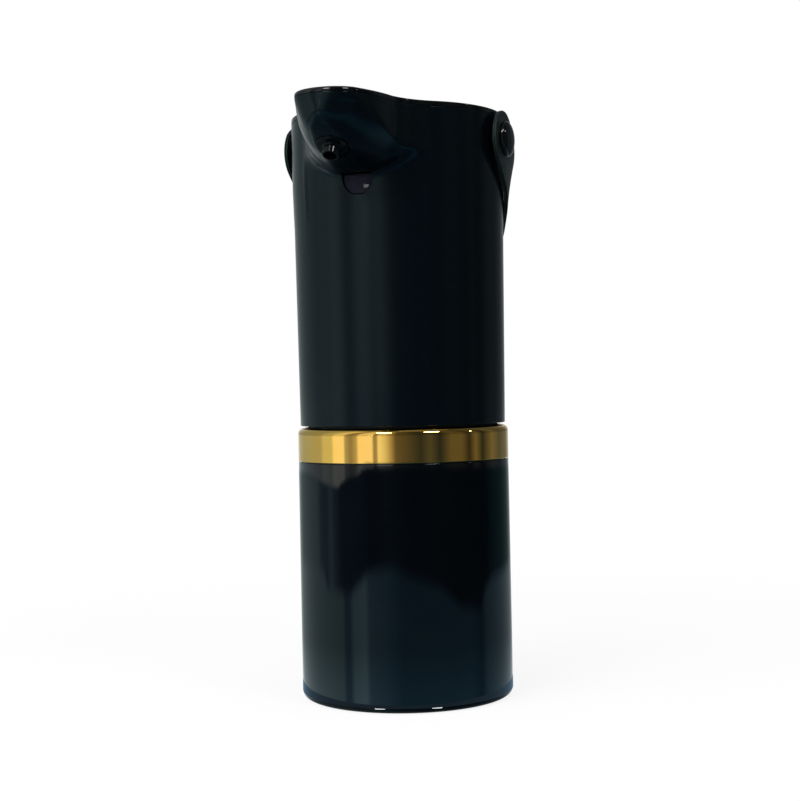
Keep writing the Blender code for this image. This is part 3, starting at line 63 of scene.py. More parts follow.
# Camera, solved from the photograph
image_width_px = 800
focal_px = 1537.0
sensor_mm = 36.0
camera_azimuth = radians(21.2)
camera_distance = 0.534
camera_height = 0.1071
camera_yaw = -0.0016
camera_pitch = -0.01
camera_roll = -0.0202
camera_shift = 0.00003

# Sizes shared with the part's source
seat_gap = 0.0003
overrun = 0.001
pad_thickness = 0.0011
pad_radius = 0.031
pad_edge = 0.0003
bottle_bottom = 0.0001
bottle_radius = 0.0365
bottle_neck_radius = 0.03636
bottle_inner_radius = 0.03336
bottle_inner_floor = 0.0034
bottle_inner_fillet = 0.003
bottle_base_fillet = 0.0024
neck_step_radius = 0.03496
shoulder_height = 0.0814
bottle_rim = 0.0906
band_bottom = 0.0817
band_top = 0.093
band_radius = 0.0364
band_inner_radius = 0.0353
band_lip = 0.0011
band_lip_inner_radius = 0.0339
band_round = 0.0023
casing_bottom = 0.0937
casing_top = 0.1975
casing_wall = 0.0019
casing_top_radius = 0.0365
casing_low_radius = 0.0354
inner_low_radius = 0.0335
inner_top_radius = 0.0346
lid_low = 0.1978
lid_top = 0.1992
lid_skirt = 0.0002
beak_round = 0.0012
body_round = 0.0004
beak_reach = 0.0668
beak_half_width = 0.0114
nose_length = 0.0094
flank_taper_share = 0.24
root_fillet = 0.028
hull_rise = 0.0073
hull_curve_share = 2.2
hull_round = 0.0018
flare_drop = 0.0317
brow_drop = 0.0229
brow_width = 0.0053
brow_lip = 0.0006
belly_drop = 0.0053
belly_curve_share = 1.6
belly_overhang = 0.0195
belly_level_drop = 0.0136
belly_slope = radians(31.4)
chin_slope = radians(40)
chin_round = 0.003
chin_rise = 0.0048
least_angle = radians(0.01)
wall_rise_share = 0.6
nozzle_tip = (0.0, -0.0578, 0.179)
nozzle_tilt = radians(27)
nozzle_radius = 0.0027
nozzle_bore = 0.0021
nozzle_reach = 0.0032
collar_radius = 0.0053
collar_length = 0.0047
nozzle_flange_radius = 0.0065
nozzle_flange_thickness = 0.0012
window_width = 0.0109
window_height = 0.0069
window_taper_share = 0.651
window_taper_power = 3
window_thickness = 0.0016
window_recess = 0.0003
window_gap = 0.00025
button_y = 0.004
button_radius = 0.0067
button_height = 0.0031
button_proud = 0.0002
button_dish = 0.0004
button_stem_radius = 0.0016
button_stem_length = 0.0033
ring_width = 0.001
ring_flange = 0.0016
ring_flange_thickness = 0.0012
port_z = 0.109
port_width = 0.0144
port_height = 0.0096
port_corner = 0.0009
stud_height = 0.1894
stud_face = 0.0392
stud_cap_radius = 0.006
stud_cap_height = 0.0025
stud_post_radius = 0.0028
stud_boss_radius = 0.0052
stud_boss_height = 0.0008
strap_seat = 0.0376
strap_thickness = 0.0013
strap_end_radius = 0.0096
strap_width = 0.015
strap_neck_length = 0.026
strap_slope = radians(45)
strap_side_gap = 0.0003
strap_bulge = 0.0006
strap_bulge_end = radians(38)
strap_back_gap = 0.0006
strap_flat_end = radians(50)
strap_edge_depth = 0.00024
strap_border = 0.0013
strap_crease = 0.0001
strap_crease_half = 0.0003
strap_centre_inset = 0.0045
pad_groove = ((0.028, 0.0), (0.0278, 0.0003), (0.0272, 0.0003), (0.027, 0.0))

# How far the cutters reach through the casing and the strap
nozzle_cut_reach = 0.006
front_cut_reach = 0.0425
back_cut_reach = 0.038
stud_cut_reach = 0.004
strap_cut_reach = 0.05

# Fineness of the smooth surfaces
turn_steps = 192
round_steps = 96
outline_step = 0.0008
casing_rows = 130
hollow_rows = 70
outline_samples = 240
smooth_samples = 1200
edge_round = 0.00025
crease_angle = radians(38)

# The studio: a drum whose wall holds the room's windows, and below the floor their image in the table top,
# a ring of the table's light round the foot, and two small panels that the foot mirrors as glints
room_radius = 0.75
room_height = 1.6
image_depth = 1.0
sill_depth = 0.005
window_glow = (0.072, 0.086)
upper_share = 0.7
image_edge_depth = 0.012
near_depth = (0.1, 0.14)
near_light = 1.9
deep_range = (0.17, 0.36)
deep_share = 0.22
ceiling_tone = (0.2, 0.22, 0.22)
foot_tone = (0.22, 0.36, 0.5)
foot_glow_rings = ((0.0405, -0.001), (0.056, -0.001))
glint_elevation = -37.5
glint_distance = 0.012
glint_size = (0.0053, 0.004)
glint_light = 26.0
ring_steps = 180
world_light = 0.5
floor_half = 3.0
floor_colour = (0.9, 0.9, 0.9, 1)
floor_white = (0.86, 1.0)
floor_fade = (0.05, 0.4)

# Angle round the dispenser from the camera's side, rising to the picture's right, and the tone there:
# the walls and windows above the sills, what lies below them and far over the floor, and the table
wall_tones = [
    (-180, 1.0, 1.0, 1.0), (-165, 0.8, 0.85, 0.85), (-150, 0.42, 0.5, 0.5), (-135, 0.36, 0.44, 0.44),
    (-99, 0.42, 0.48, 0.5), (-94, 0.6, 0.68, 0.7), (-82, 0.6, 0.7, 0.6), (-79, 1.0, 1.0, 0.95),
    (-66, 1.0, 1.0, 0.95), (-64, 0.42, 0.46, 0.46), (-57, 0.28, 0.28, 0.28), (-50, 0.5, 0.52, 0.5),
    (-48, 1.0, 1.0, 1.0), (-33, 1.0, 1.0, 1.0), (-31, 0.35, 0.35, 0.35), (-28, 0.35, 0.35, 0.35),
    (-26, 0.95, 1.0, 1.0), (-19, 0.7, 0.75, 0.7), (-13, 0.4, 0.38, 0.34), (-8, 0.12, 0.12, 0.12),
    (18, 0.03, 0.04, 0.06), (28, 0.07, 0.08, 0.09), (39, 0.02, 0.03, 0.05), (52, 0.11, 0.11, 0.1),
    (64, 0.11, 0.11, 0.1), (74, 0.03, 0.03, 0.04), (83, 0.14, 0.14, 0.13), (93, 0.02, 0.03, 0.04),
    (110, 0.15, 0.16, 0.16), (125, 0.08, 0.1, 0.12), (148, 0.15, 0.18, 0.2), (180, 1.0, 1.0, 1.0),
]
low_tones = [
    (-180, 0.6, 0.65, 0.65), (-160, 0.4, 0.45, 0.45), (-145, 0.2, 0.26, 0.26), (-107, 0.24, 0.34, 0.38),
    (-101, 0.12, 0.2, 0.24), (-92, 0.1, 0.17, 0.21), (-85, 0.2, 0.32, 0.38), (-79, 0.11, 0.17, 0.23),
    (-71, 0.03, 0.06, 0.1), (-45, 0.02, 0.045, 0.08), (-35, 0.01, 0.02, 0.035), (-18, 0.025, 0.045, 0.07),
    (5, 0.006, 0.014, 0.027), (96, 0.006, 0.014, 0.027), (105, 0.015, 0.045, 0.06), (130, 0.03, 0.07, 0.08),
    (145, 0.08, 0.12, 0.12), (180, 0.6, 0.65, 0.65),
]
image_tones = [
    (-180, 0.7, 0.75, 0.75), (-150, 0.3, 0.36, 0.37), (-110, 0.26, 0.37, 0.41), (-84, 0.26, 0.42, 0.46),
    (-71, 0.25, 0.4, 0.45), (-67, 0.1, 0.2, 0.28), (-62, 0.1, 0.22, 0.3), (-57, 0.3, 0.5, 0.58),
    (-44, 0.36, 0.6, 0.7), (-39, 0.16, 0.3, 0.4), (-20, 0.1, 0.22, 0.33), (-5, 0.05, 0.14, 0.21),
    (72, 0.05, 0.14, 0.21), (86, 0.03, 0.08, 0.14), (95, 0.09, 0.18, 0.25), (125, 0.16, 0.24, 0.28),
    (150, 0.25, 0.3, 0.33), (180, 0.7, 0.75, 0.75),
]

# The height of the windows' sills, and the depth at which their image in the table begins, per metre of it
sill_heights = [
    (-125, 0.036), (-100, 0.03), (-84, 0.027), (-74, 0.026), (-69, 0.03), (-60, 0.034), (-50, 0.036),
    (-44, 0.041), (-38, 0.043), (180, 0.036),
]
image_depths = [
    (-110, 0.03), (-97, 0.034), (-92, 0.048), (-60, 0.05), (-50, 0.042), (-38, 0.032), (-14, 0.028),
    (2, 0.036), (37, 0.046), (60, 0.062), (86, 0.066), (92, 0.05), (104, 0.042), (180, 0.03),
]


def add_object(name, data):
    obj = bpy.data.objects.new(name, data)
    bpy.context.scene.collection.objects.link(obj)
    return obj


def add_surface(name, points, faces, made):
    mesh = bpy.data.meshes.new(name)
    mesh.from_pydata([tuple(p) for p in points], [], faces)
    mesh.validate()
    mesh.materials.append(made)
    return add_object(name, mesh)


def add_mesh(name, points, faces, finish, node=None, body=None, slot=None):
    """A smooth piece, for a CAD node or on a body alone. The slot argument is not used."""
    piece = add_surface(name, points, faces, finishes[finish])
    shade_smooth(piece)
    if node:
        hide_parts(node)
    if body:
        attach(piece, body)
        slot = slot or finish
    return piece


def shade_smooth(piece):
    """Smooth shading with sharp creases, in which wide faces outweigh the narrow rounds beside them."""
    mesh = piece.data
    work = bmesh.new()
    work.from_mesh(mesh)
    bmesh.ops.remove_doubles(work, verts=work.verts, dist=0.000001)
    bmesh.ops.recalc_face_normals(work, faces=work.faces)
    work.to_mesh(mesh)
    work.free()
    mesh.shade_smooth()
    mesh.set_sharp_from_angle(angle=crease_angle)
    weigh = piece.modifiers.new("weigh", "WEIGHTED_NORMAL")
    weigh.keep_sharp = True
    apply_modifiers(piece)


def apply_modifiers(piece):
    graph = bpy.context.evaluated_depsgraph_get()
    mesh = bpy.data.meshes.new_from_object(piece.evaluated_get(graph))
    piece.modifiers.clear()
    piece.data = mesh


def rounded(corners, steps=5):
    """A profile of (radius, height, fillet) corners with its corners rounded."""
    path = []
    for i, (r, z, fillet) in enumerate(corners):
        here = Vector((r, z))
        if not fillet:
            path.append((r, z))
            continue
        before = (Vector(corners[i - 1][:2]) - here).normalized()
        after = (Vector(corners[(i + 1) % len(corners)][:2]) - here).normalized()
        half = before.angle(after) / 2
        centre = here + (before + after).normalized() * (fillet / sin(half))
        first = here + before * (fillet / tan(half)) - centre
        last = here + after * (fillet / tan(half)) - centre
        turn = first.angle(last)
        for k in range(steps + 1):
            point = first * sin(turn * (1 - k / steps)) + last * sin(turn * k / steps)
            point = centre + point / sin(turn)
            path.append((point.x, point.y))
    return path


def along(start, direction):
    """A frame at start whose +Z runs along direction."""
    turn = Vector(direction).to_track_quat("Z", "Y").to_matrix().to_4x4()
    return Matrix.Translation(start) @ turn


def lathe(name, profile, finish, steps=turn_steps, place=None, closed=False, **ties):
    """A profile of (radius, height) points turned about +Z of a frame."""
    place = place or Matrix()
    points = []
    rings = []
    for r, z in profile:
        if r == 0.0:
            rings.append([len(points)] * steps)
            points.append(place @ Vector((0.0, 0.0, z)))
            continue
        rings.append(list(range(len(points), len(points) + steps)))
        turns = [2 * pi * k / steps for k in range(steps)]
        points += [place @ Vector((r * cos(t), r * sin(t), z)) for t in turns]
    faces = []
    pairs = list(zip(rings, rings[1:]))
    if closed:
        pairs.append((rings[-1], rings[0]))
    for first, second in pairs:
        for k in range(steps):
            after = (k + 1) % steps
            corners = [first[k], first[after], second[after], second[k]]
            faces.append(list(dict.fromkeys(corners)))
    return add_mesh(name, points, faces, finish, **ties)


def loft(name, columns, finish, around=True, **ties):
    """Closed columns of points joined side by side, and round to the first where they go around."""
    count = len(columns[0])
    points = [p for column in columns for p in column]
    faces = []
    last = len(columns) if around else len(columns) - 1
    for i in range(last):
        first = i * count
        second = ((i + 1) % len(columns)) * count
        for k in range(count):
            after = (k + 1) % count
            faces.append((first + k, second + k, second + after, first + after))
    if not around:
        faces.append(list(range(count)))
        faces.append(list(range((len(columns) - 1) * count, len(columns) * count))[::-1])
    return add_mesh(name, points, faces, finish, **ties)


def cut(piece, *cutters):
    """Takes the cutters out of a piece and deletes them."""
    for cutter in cutters:
        change = piece.modifiers.new("cut", "BOOLEAN")
        change.operation = "DIFFERENCE"
        change.solver = "EXACT"
        change.object = cutter
    apply_modifiers(piece)
    shade_smooth(piece)
    for cutter in cutters:
        bpy.data.objects.remove(cutter)


# Materials


def empty_tree(owner):
    owner.use_nodes = True
    owner.node_tree.nodes.clear()
    return owner.node_tree


def shader(name):
    """A material with its tree, shader and object coordinates."""
    made = bpy.data.materials.new(name)
    made.use_nodes = True
    tree = made.node_tree
    surface = tree.nodes["Principled BSDF"]
    place = tree.nodes.new("ShaderNodeTexCoord")
    return made, tree, surface, place.outputs["Object"]


def noise(tree, place, grain, detail=3.0, stretch=None):
    """Noise whose features are about grain metres across."""
    texture = tree.nodes.new("ShaderNodeTexNoise")
    texture.inputs["Scale"].default_value = 1 / grain
    texture.inputs["Detail"].default_value = detail
    if stretch:
        mapping = tree.nodes.new("ShaderNodeMapping")
        mapping.inputs["Scale"].default_value = stretch
        tree.links.new(place, mapping.inputs["Vector"])
        place = mapping.outputs["Vector"]
    tree.links.new(place, texture.inputs["Vector"])
    return texture.outputs["Fac"]


def cells(tree, place, size, feature="F1"):
    """A texture of cells about size metres across."""
    texture = tree.nodes.new("ShaderNodeTexVoronoi")
    texture.feature = feature
    texture.inputs["Scale"].default_value = 1 / size
    tree.links.new(place, texture.inputs["Vector"])
    return texture


def spread(tree, value, low=0.0, high=1.0, start=0.3, end=0.7):
    """A value between start and end mapped to low and high."""
    change = tree.nodes.new("ShaderNodeMapRange")
    for socket, number in zip(("From Min", "From Max", "To Min", "To Max"), (start, end, low, high)):
        change.inputs[socket].default_value = number
    tree.links.new(value, change.inputs["Value"])
    return change.outputs["Result"]


def blend_colours(tree, value, first, second):
    """A colour between two, each a plain colour or a socket."""
    mix = tree.nodes.new("ShaderNodeMix")
    mix.data_type = "RGBA"
    for socket, colour in (("A", first), ("B", second)):
        if isinstance(colour, tuple):
            mix.inputs[socket].default_value = (*colour, 1)
        else:
            tree.links.new(colour, mix.inputs[socket])
    tree.links.new(value, mix.inputs["Factor"])
    return mix.outputs["Result"]


def figure(tree, operation, *values):
    """A sum worked out on sockets and plain numbers."""
    node = tree.nodes.new("ShaderNodeMath")
    node.operation = operation
    for socket, value in zip(node.inputs, values):
        if isinstance(value, float):
            socket.default_value = value
        else:
            tree.links.new(value, socket)
    return node.outputs[0]


def bump(tree, surface, value, depth, before=None):
    node = tree.nodes.new("ShaderNodeBump")
    node.inputs["Strength"].default_value = 1.0
    node.inputs["Distance"].default_value = depth
    tree.links.new(value, node.inputs["Height"])
    if before:
        tree.links.new(before, node.inputs["Normal"])
    tree.links.new(node.outputs["Normal"], surface.inputs["Normal"])
    return node.outputs["Normal"]


def set_shine(surface, specular, tint):
    surface.inputs["Specular IOR Level"].default_value = specular
    surface.inputs["Specular Tint"].default_value = (*tint, 1)


def finish(name, colours, grain, rough, bump_grain, bump_depth, metal=0.0, stretch=None, specular=0.5,
           tint=(1.0, 1.0, 1.0)):
    """A finish whose colour and roughness wander with noise, over a fine bump."""
    made, tree, surface, place = shader(name)
    value = noise(tree, place, grain, stretch=stretch)
    tree.links.new(blend_colours(tree, spread(tree, value), *colours), surface.inputs["Base Color"])
    worn = noise(tree, place, grain * 2.7, stretch=stretch)
    tree.links.new(spread(tree, worn, *rough), surface.inputs["Roughness"])
    surface.inputs["Metallic"].default_value = metal
    set_shine(surface, specular, tint)
    bump(tree, surface, noise(tree, place, bump_grain, stretch=stretch), bump_depth)
    return made


def leather_finish():
    """Black leather: a pebbled grain of fine cells with creases between them."""
    made, tree, surface, place = shader("leather")
    pebbles = cells(tree, place, 0.0007, "DISTANCE_TO_EDGE")
    grain = spread(tree, pebbles.outputs["Distance"], 0.0, 1.0, 0.0, 0.25)
    wear = noise(tree, place, 0.004)
    colour = blend_colours(tree, spread(tree, wear), (0.003, 0.006, 0.006), (0.007, 0.012, 0.011))
    tree.links.new(colour, surface.inputs["Base Color"])
    tree.links.new(spread(tree, wear, 0.36, 0.5), surface.inputs["Roughness"])
    # the tint colours the strap's reflections green-blue: painted colour of cool room light, not of the
    # leather
    set_shine(surface, 0.36, (0.7, 0.96, 0.93))
    first = bump(tree, surface, grain, 0.00005)
    bump(tree, surface, noise(tree, place, 0.0012), 0.0001, first)
    return made


def board_finish():
    """Green solder mask over faint tracks, with tinned pads."""
    made, tree, surface, place = shader("board_green")
    tracks = cells(tree, place, 0.003, "DISTANCE_TO_EDGE")
    tracks.distance = "CHEBYCHEV"
    line = spread(tree, tracks.outputs["Distance"], 1.0, 0.0, 0.03, 0.07)
    green = blend_colours(tree, line, (0.012, 0.11, 0.045), (0.05, 0.26, 0.11))
    pads = cells(tree, place, 0.0026)
    pads.inputs["Randomness"].default_value = 0.6
    tin = spread(tree, pads.outputs["Distance"], 1.0, 0.0, 0.16, 0.18)
    tree.links.new(blend_colours(tree, tin, green, (0.62, 0.6, 0.55)), surface.inputs["Base Color"])
    tree.links.new(spread(tree, tin, 0.42, 0.25, 0.0, 1.0), surface.inputs["Roughness"])
    bump(tree, surface, line, 0.00004)
    return made


# Name, two colours, their grain, the roughness from and to, and the bump's grain and depth
finish_rows = [
    ("gloss_black", ((0.0006, 0.001, 0.0014), (0.0012, 0.0017, 0.0021)), 0.02, (0.02, 0.045), 0.0009, 1e-6),
    # the nozzle's gloss black, duller and less reflective: painted shade that keeps the nozzle dark
    ("nozzle_shaded_gloss", ((0.0006, 0.001, 0.0016), (0.0012, 0.0017, 0.0024)), 0.003, (0.08, 0.14), 0.0006, 2e-6),
    ("matt_black", ((0.0004, 0.0013, 0.0024), (0.0009, 0.0021, 0.0033)), 0.0006, (0.18, 0.24), 0.00024,
     1.4e-5),
    ("gilt", ((0.96, 0.56, 0.11), (1.0, 0.63, 0.16)), 0.012, (0.01, 0.03), 0.004, 4e-6),
    ("rubber_black", ((0.01, 0.01, 0.011), (0.018, 0.018, 0.019)), 0.001, (0.6, 0.75), 0.0003, 2e-5),
    ("silicone", ((0.7, 0.72, 0.72), (0.8, 0.81, 0.8)), 0.004, (0.35, 0.5), 0.001, 2e-5),
    ("white_plastic", ((0.68, 0.69, 0.68), (0.76, 0.76, 0.74)), 0.006, (0.32, 0.45), 0.0004, 1.2e-5),
    ("frame_plastic", ((0.035, 0.037, 0.041), (0.06, 0.062, 0.066)), 0.002, (0.45, 0.6), 0.0003, 2e-5),
    ("light_plastic", ((0.74, 0.82, 0.88), (0.84, 0.89, 0.92)), 0.003, (0.2, 0.3), 0.0006, 1e-5),
    ("smoked", ((0.006, 0.006, 0.011), (0.009, 0.009, 0.015)), 0.004, (0.01, 0.02), 0.002, 4e-7),
    ("steel", ((0.48, 0.49, 0.51), (0.62, 0.62, 0.63)), 0.0005, (0.25, 0.4), 0.0003, 1e-5),
    ("brass", ((0.62, 0.43, 0.19), (0.76, 0.57, 0.3)), 0.0008, (0.25, 0.38), 0.0003, 1e-5),
    ("cell_wrap", ((0.03, 0.14, 0.36), (0.06, 0.22, 0.48)), 0.012, (0.25, 0.4), 0.0015, 2e-5),
]
finish_extras = {
    # half the gloss black's shine on the nozzle: painted shade
    "nozzle_shaded_gloss": {"specular": 0.25},
    # the tint colours the casing's reflections blue-green: painted colour of cool room light, not of the
    # black plastic
    "matt_black": {"specular": 0.3, "tint": (0.62, 0.92, 1.0)},
    "gilt": {"metal": 1.0},
    "smoked": {"specular": 0.05},
    "steel": {"metal": 1.0, "stretch": (1, 1, 6)},
    "brass": {"metal": 1.0},
}


def make_finishes():
    """One finish for each material slot of the record, and for the nozzle a duller, less reflective copy of
    the gloss black: painted shade.
    """
    finishes = {row[0]: finish(*row, **finish_extras.get(row[0], {})) for row in finish_rows}
    return {**finishes, "leather": leather_finish(), "board_green": board_finish()}


def dress_nodes():
    """Gives every CAD node the finish of its slot, and black rubber in place of its own finish to the seal
    in the gap over the band: painted shade in that gap.
    """
    for row in frame["record"]["subparts"]:
        node = bpy.data.objects[row["node"]]
        made = finishes[row["material_slot"]]
        if not node.material_slots:
            node.data.materials.append(made)
        for place in node.material_slots:
            place.material = made
    # the seal in the gap over the band turned black: painted shade between the casing and the band
    bpy.data.objects["neck_seal"].material_slots[0].material = finishes["rubber_black"]


# Casing


def casing_radius(z):
    share = (z - casing_bottom) / (lid_top - casing_bottom)
    return casing_low_radius + (casing_top_radius - casing_low_radius) * share


def beak_plan(inset):
    """Angles from -Y and radii of the beak's plan outline, moved inwards by inset."""
    centre = beak_reach - nose_length
    nose_end = atan2(beak_half_width, nose_length * flank_taper_share)
    turns = np.linspace(0, nose_end, outline_samples)
    outline = np.stack([beak_half_width * np.sin(turns), centre + nose_length * np.cos(turns)], 1)
    outwards = np.stack([nose_length * np.sin(turns), beak_half_width * np.cos(turns)], 1)
    outline -= inset * outwards / np.linalg.norm(outwards, axis=1)[:, None]
    slope = Vector((flank_taper_share, -1.0)).normalized()
    outward = Vector((1.0, flank_taper_share)).normalized()
    fillet = root_fillet + inset
    start = Vector(outline[-1]) + outward * fillet
    reach = start.dot(slope)
    beyond = start.length_squared - (casing_top_radius + root_fillet) ** 2
    middle = start + slope * (-reach - sqrt(reach * reach - beyond))
    first = atan2(-outward.y, -outward.x)
    last = atan2(-middle.y, -middle.x)
    turns = np.linspace(first, last, outline_samples)
    root = np.stack([middle.x + fillet * np.cos(turns), middle.y + fillet * np.sin(turns)], 1)
    points = np.concatenate([outline, root])
    angles = np.arctan2(points[:, 0], points[:, 1])
    order = np.argsort(angles)
    return angles[order], np.hypot(points[:, 0], points[:, 1])[order]


def plan_radius(angle, plan, inset=0.0):
    return float(np.interp(abs(angle), plan[0], plan[1], right=casing_top_radius - inset))


def plan_angle(radius, plan):
    order = np.argsort(plan[1])
    return float(np.interp(radius, plan[1][order], plan[0][order]))


def chin_profile(inset):
    """Radius and height of the beak's underside from the wall to the nose, before its belly is let down."""
    flare = lid_top - flare_drop
    brow = lid_top - brow_drop
    wall = casing_radius(flare)
    slope_start = wall + brow_width
    belly = casing_top_radius + belly_overhang
    level = lid_top - belly_level_drop
    chin_end = beak_reach - chin_round
    rise = (chin_end - belly) * tan(chin_slope)
    points = [
        (wall, flare),
        (wall + brow_lip, brow - 2 * brow_lip),
        (wall + 2 * brow_lip, brow),
        (slope_start, level + (slope_start - belly) * tan(belly_slope)),
        (belly, level),
        (chin_end, level + rise),
        (beak_reach, level + rise + chin_rise),
    ]
    return np.array(points) + np.array([-inset, inset * wall_rise_share])


def hull_height(radius, angle, plan, chin):
    """Height of the underside: lowest along its belly on the centre line, rising towards the flanks."""
    share = min(1.0, abs(angle) / max(plan_angle(radius, plan), least_angle))
    run = min(1.0, max(0.0, (radius - chin[2, 0]) / (chin[-1, 0] - chin[2, 0])))
    flank = share ** (hull_curve_share + belly_curve_share * run)
    belly = belly_drop * sin(pi / 2 * run)
    return float(np.interp(radius, chin[:, 0], chin[:, 1])) + hull_rise * flank - belly * (1 - flank)


def run_along(path):
    return np.concatenate([[0.0], np.cumsum(np.linalg.norm(np.diff(path, axis=0), axis=1))])


def resample(path, count):
    run = run_along(path)
    even = np.linspace(0, run[-1], count)
    return np.stack([np.interp(even, run, path[:, 0]), np.interp(even, run, path[:, 1])], 1)


def smoothed(path):
    """The path with its corners rounded by a moving average over hull_round to either side."""
    fine = resample(path, smooth_samples)
    reach = max(1, int(hull_round / (run_along(path)[-1] / smooth_samples)))
    window = np.ones(2 * reach + 1) / (2 * reach + 1)
    padded = np.pad(fine, ((reach, reach), (0, 0)), mode="reflect", reflect_type="odd")
    return np.stack([np.convolve(padded[:, k], window, "valid") for k in (0, 1)], 1)


def casing_column(angle, plan, inset, chin, count):
    """Radius and height of the casing's surface at one angle, from its lower edge to its upper."""
    top_radius = plan_radius(angle, plan, inset)
    start = chin[0, 1] - hull_rise
    path = [(casing_radius(start) - inset, start)]
    if top_radius > casing_top_radius - inset + seat_gap:
        cap = casing_top - hull_round
        radii = np.linspace(chin[0, 0], top_radius, outline_samples)
        path += [(r, min(hull_height(r, angle, plan, chin), cap)) for r in radii]
    else:
        path.append((top_radius, chin[0, 1] + hull_rise))
    path.append((top_radius, casing_top))
    rows = resample(smoothed(np.array(path)), count)
    return [(casing_radius(casing_bottom) - inset, casing_bottom)] + [(float(r), float(z)) for r, z in rows]


def outline_angles(plan):
    """Angles round the axis whose points lie at even steps along the lid's outline."""
    fine = np.linspace(0, pi, 4000)
    radii = np.array([plan_radius(a, plan) for a in fine])
    run = run_along(np.stack([radii * np.sin(fine), radii * np.cos(fine)], 1))
    count = int(run[-1] / outline_step)
    half = np.interp(np.linspace(0, run[-1], count + 1), run, fine)
    return [-a for a in reversed(half[1:-1])] + list(half)


def add_casing():
    """The casing's outside and hollow as one closed skin, with the openings cut through it."""
    plan = beak_plan(0.0)
    inner_plan = beak_plan(casing_wall)
    chin = chin_profile(0.0)
    inner_chin = chin_profile(casing_wall)
    columns = []
    for angle in outline_angles(plan):
        outer = round_ends(casing_column(angle, plan, 0.0, chin, casing_rows))
        inner = casing_column(angle, inner_plan, casing_wall, inner_chin, hollow_rows)
        ring = outer + inner[::-1]
        columns.append([Vector((r * sin(angle), -r * cos(angle), z)) for r, z in ring])
    casing = loft("casing_shell", columns, "matt_black", node="casing", body="head")
    seat = nozzle_reach + collar_length - seat_gap
    hole = collar_radius + seat_gap
    flange = nozzle_flange_radius + seat_gap
    start = -nozzle_cut_reach
    end = seat + nozzle_cut_reach
    profile = [(0.0, start), (hole, start), (hole, seat), (flange, seat), (flange, end), (0.0, end)]
    cutters = [lathe("nozzle_cut", profile, "matt_black", round_steps, nozzle_frame())]
    inside = inner_low_radius - overrun
    cutters.append(prism("window_cut", window_outline(), -inside, -front_cut_reach))
    cutters.append(prism("port_cut", port_outline(), inside, back_cut_reach))
    for side in (-1, 1):
        place = stud_frame(side, inner_top_radius)
        cutters.append(stud_cutter("stud_cut", stud_cut_reach, place, "matt_black"))
    cut(casing, *cutters)
    hole = stud_post_radius + seat_gap
    low = inner_top_radius + casing_wall / 2
    high = casing_top_radius + stud_boss_height
    for name, side in (("left", -1), ("right", 1)):
        edge = stud_boss_radius
        ring = rounded([(hole, low, 0), (hole, high, 0), (edge, high, edge_round), (edge, low, 0)])
        place = stud_frame(side)
        lathe(f"stud_boss_{name}", ring, "matt_black", round_steps, place, closed=True, body="head")


def stud_frame(side, reach=0.0):
    """A frame on the line through the studs whose +Z runs out to one side."""
    return along((side * reach, 0.0, stud_height), (side, 0.0, 0.0))


def stud_cutter(name, reach, place, made):
    """A rod that cuts a stud's hole, reach to either side of the frame's origin."""
    hole = stud_post_radius + seat_gap
    profile = [(0.0, -reach), (hole, -reach), (hole, reach), (0.0, reach)]
    return lathe(name, profile, made, round_steps, place)


def round_ends(column):
    """The casing's column with small rounds at its lower and upper ends."""
    steps = 4
    low, high = casing_bottom, casing_top
    kept = [(r, z) for r, z in column if low + edge_round < z < high - edge_round]
    start = column[0][0]
    end = column[-1][0]
    first = []
    last = []
    for k in range(steps + 1):
        turn = pi / 2 * k / steps
        first.append((start - edge_round * (1 - sin(turn)), low + edge_round * (1 - cos(turn))))
        last.append((end - edge_round * (1 - cos(turn)), high - edge_round * (1 - sin(turn))))
    return first + kept + last


def nozzle_frame():
    """A frame at the nozzle's tip whose +Z runs inwards along the nozzle."""
    return along(nozzle_tip, (0.0, sin(nozzle_tilt), cos(nozzle_tilt)))


def window_outline(steps=24):
    half = window_width / 2
    top = lid_top - brow_drop
    low = top - window_height
    side = []
    for i in range(steps + 1):
        share = i / steps
        side.append((half * (1 - window_taper_share * share**window_taper_power), top + (low - top) * share))
    return side + [(-x, z) for x, z in reversed(side)]


def port_outline(steps=5):
    points = []
    width = port_width / 2 + seat_gap
    height = port_height / 2 + seat_gap
    for quarter, (sx, sz) in enumerate(((1, 1), (-1, 1), (-1, -1), (1, -1))):
        for i in range(steps + 1):
            turn = quarter * pi / 2 + pi / 2 * i / steps
            x = sx * (width - port_corner) + port_corner * cos(turn)
            points.append((x, port_z + sz * (height - port_corner) + port_corner * sin(turn)))
    return points


def prism(name, outline, start, end):
    """An outline in X and Z run along Y."""
    count = len(outline)
    points = [(x, start, z) for x, z in outline] + [(x, end, z) for x, z in outline]
    faces = [(k, (k + 1) % count, count + (k + 1) % count, count + k) for k in range(count)]
    faces += [list(range(count))[::-1], list(range(count, 2 * count))]
    return add_mesh(name, points, faces, "matt_black")


# Lid, button and ring


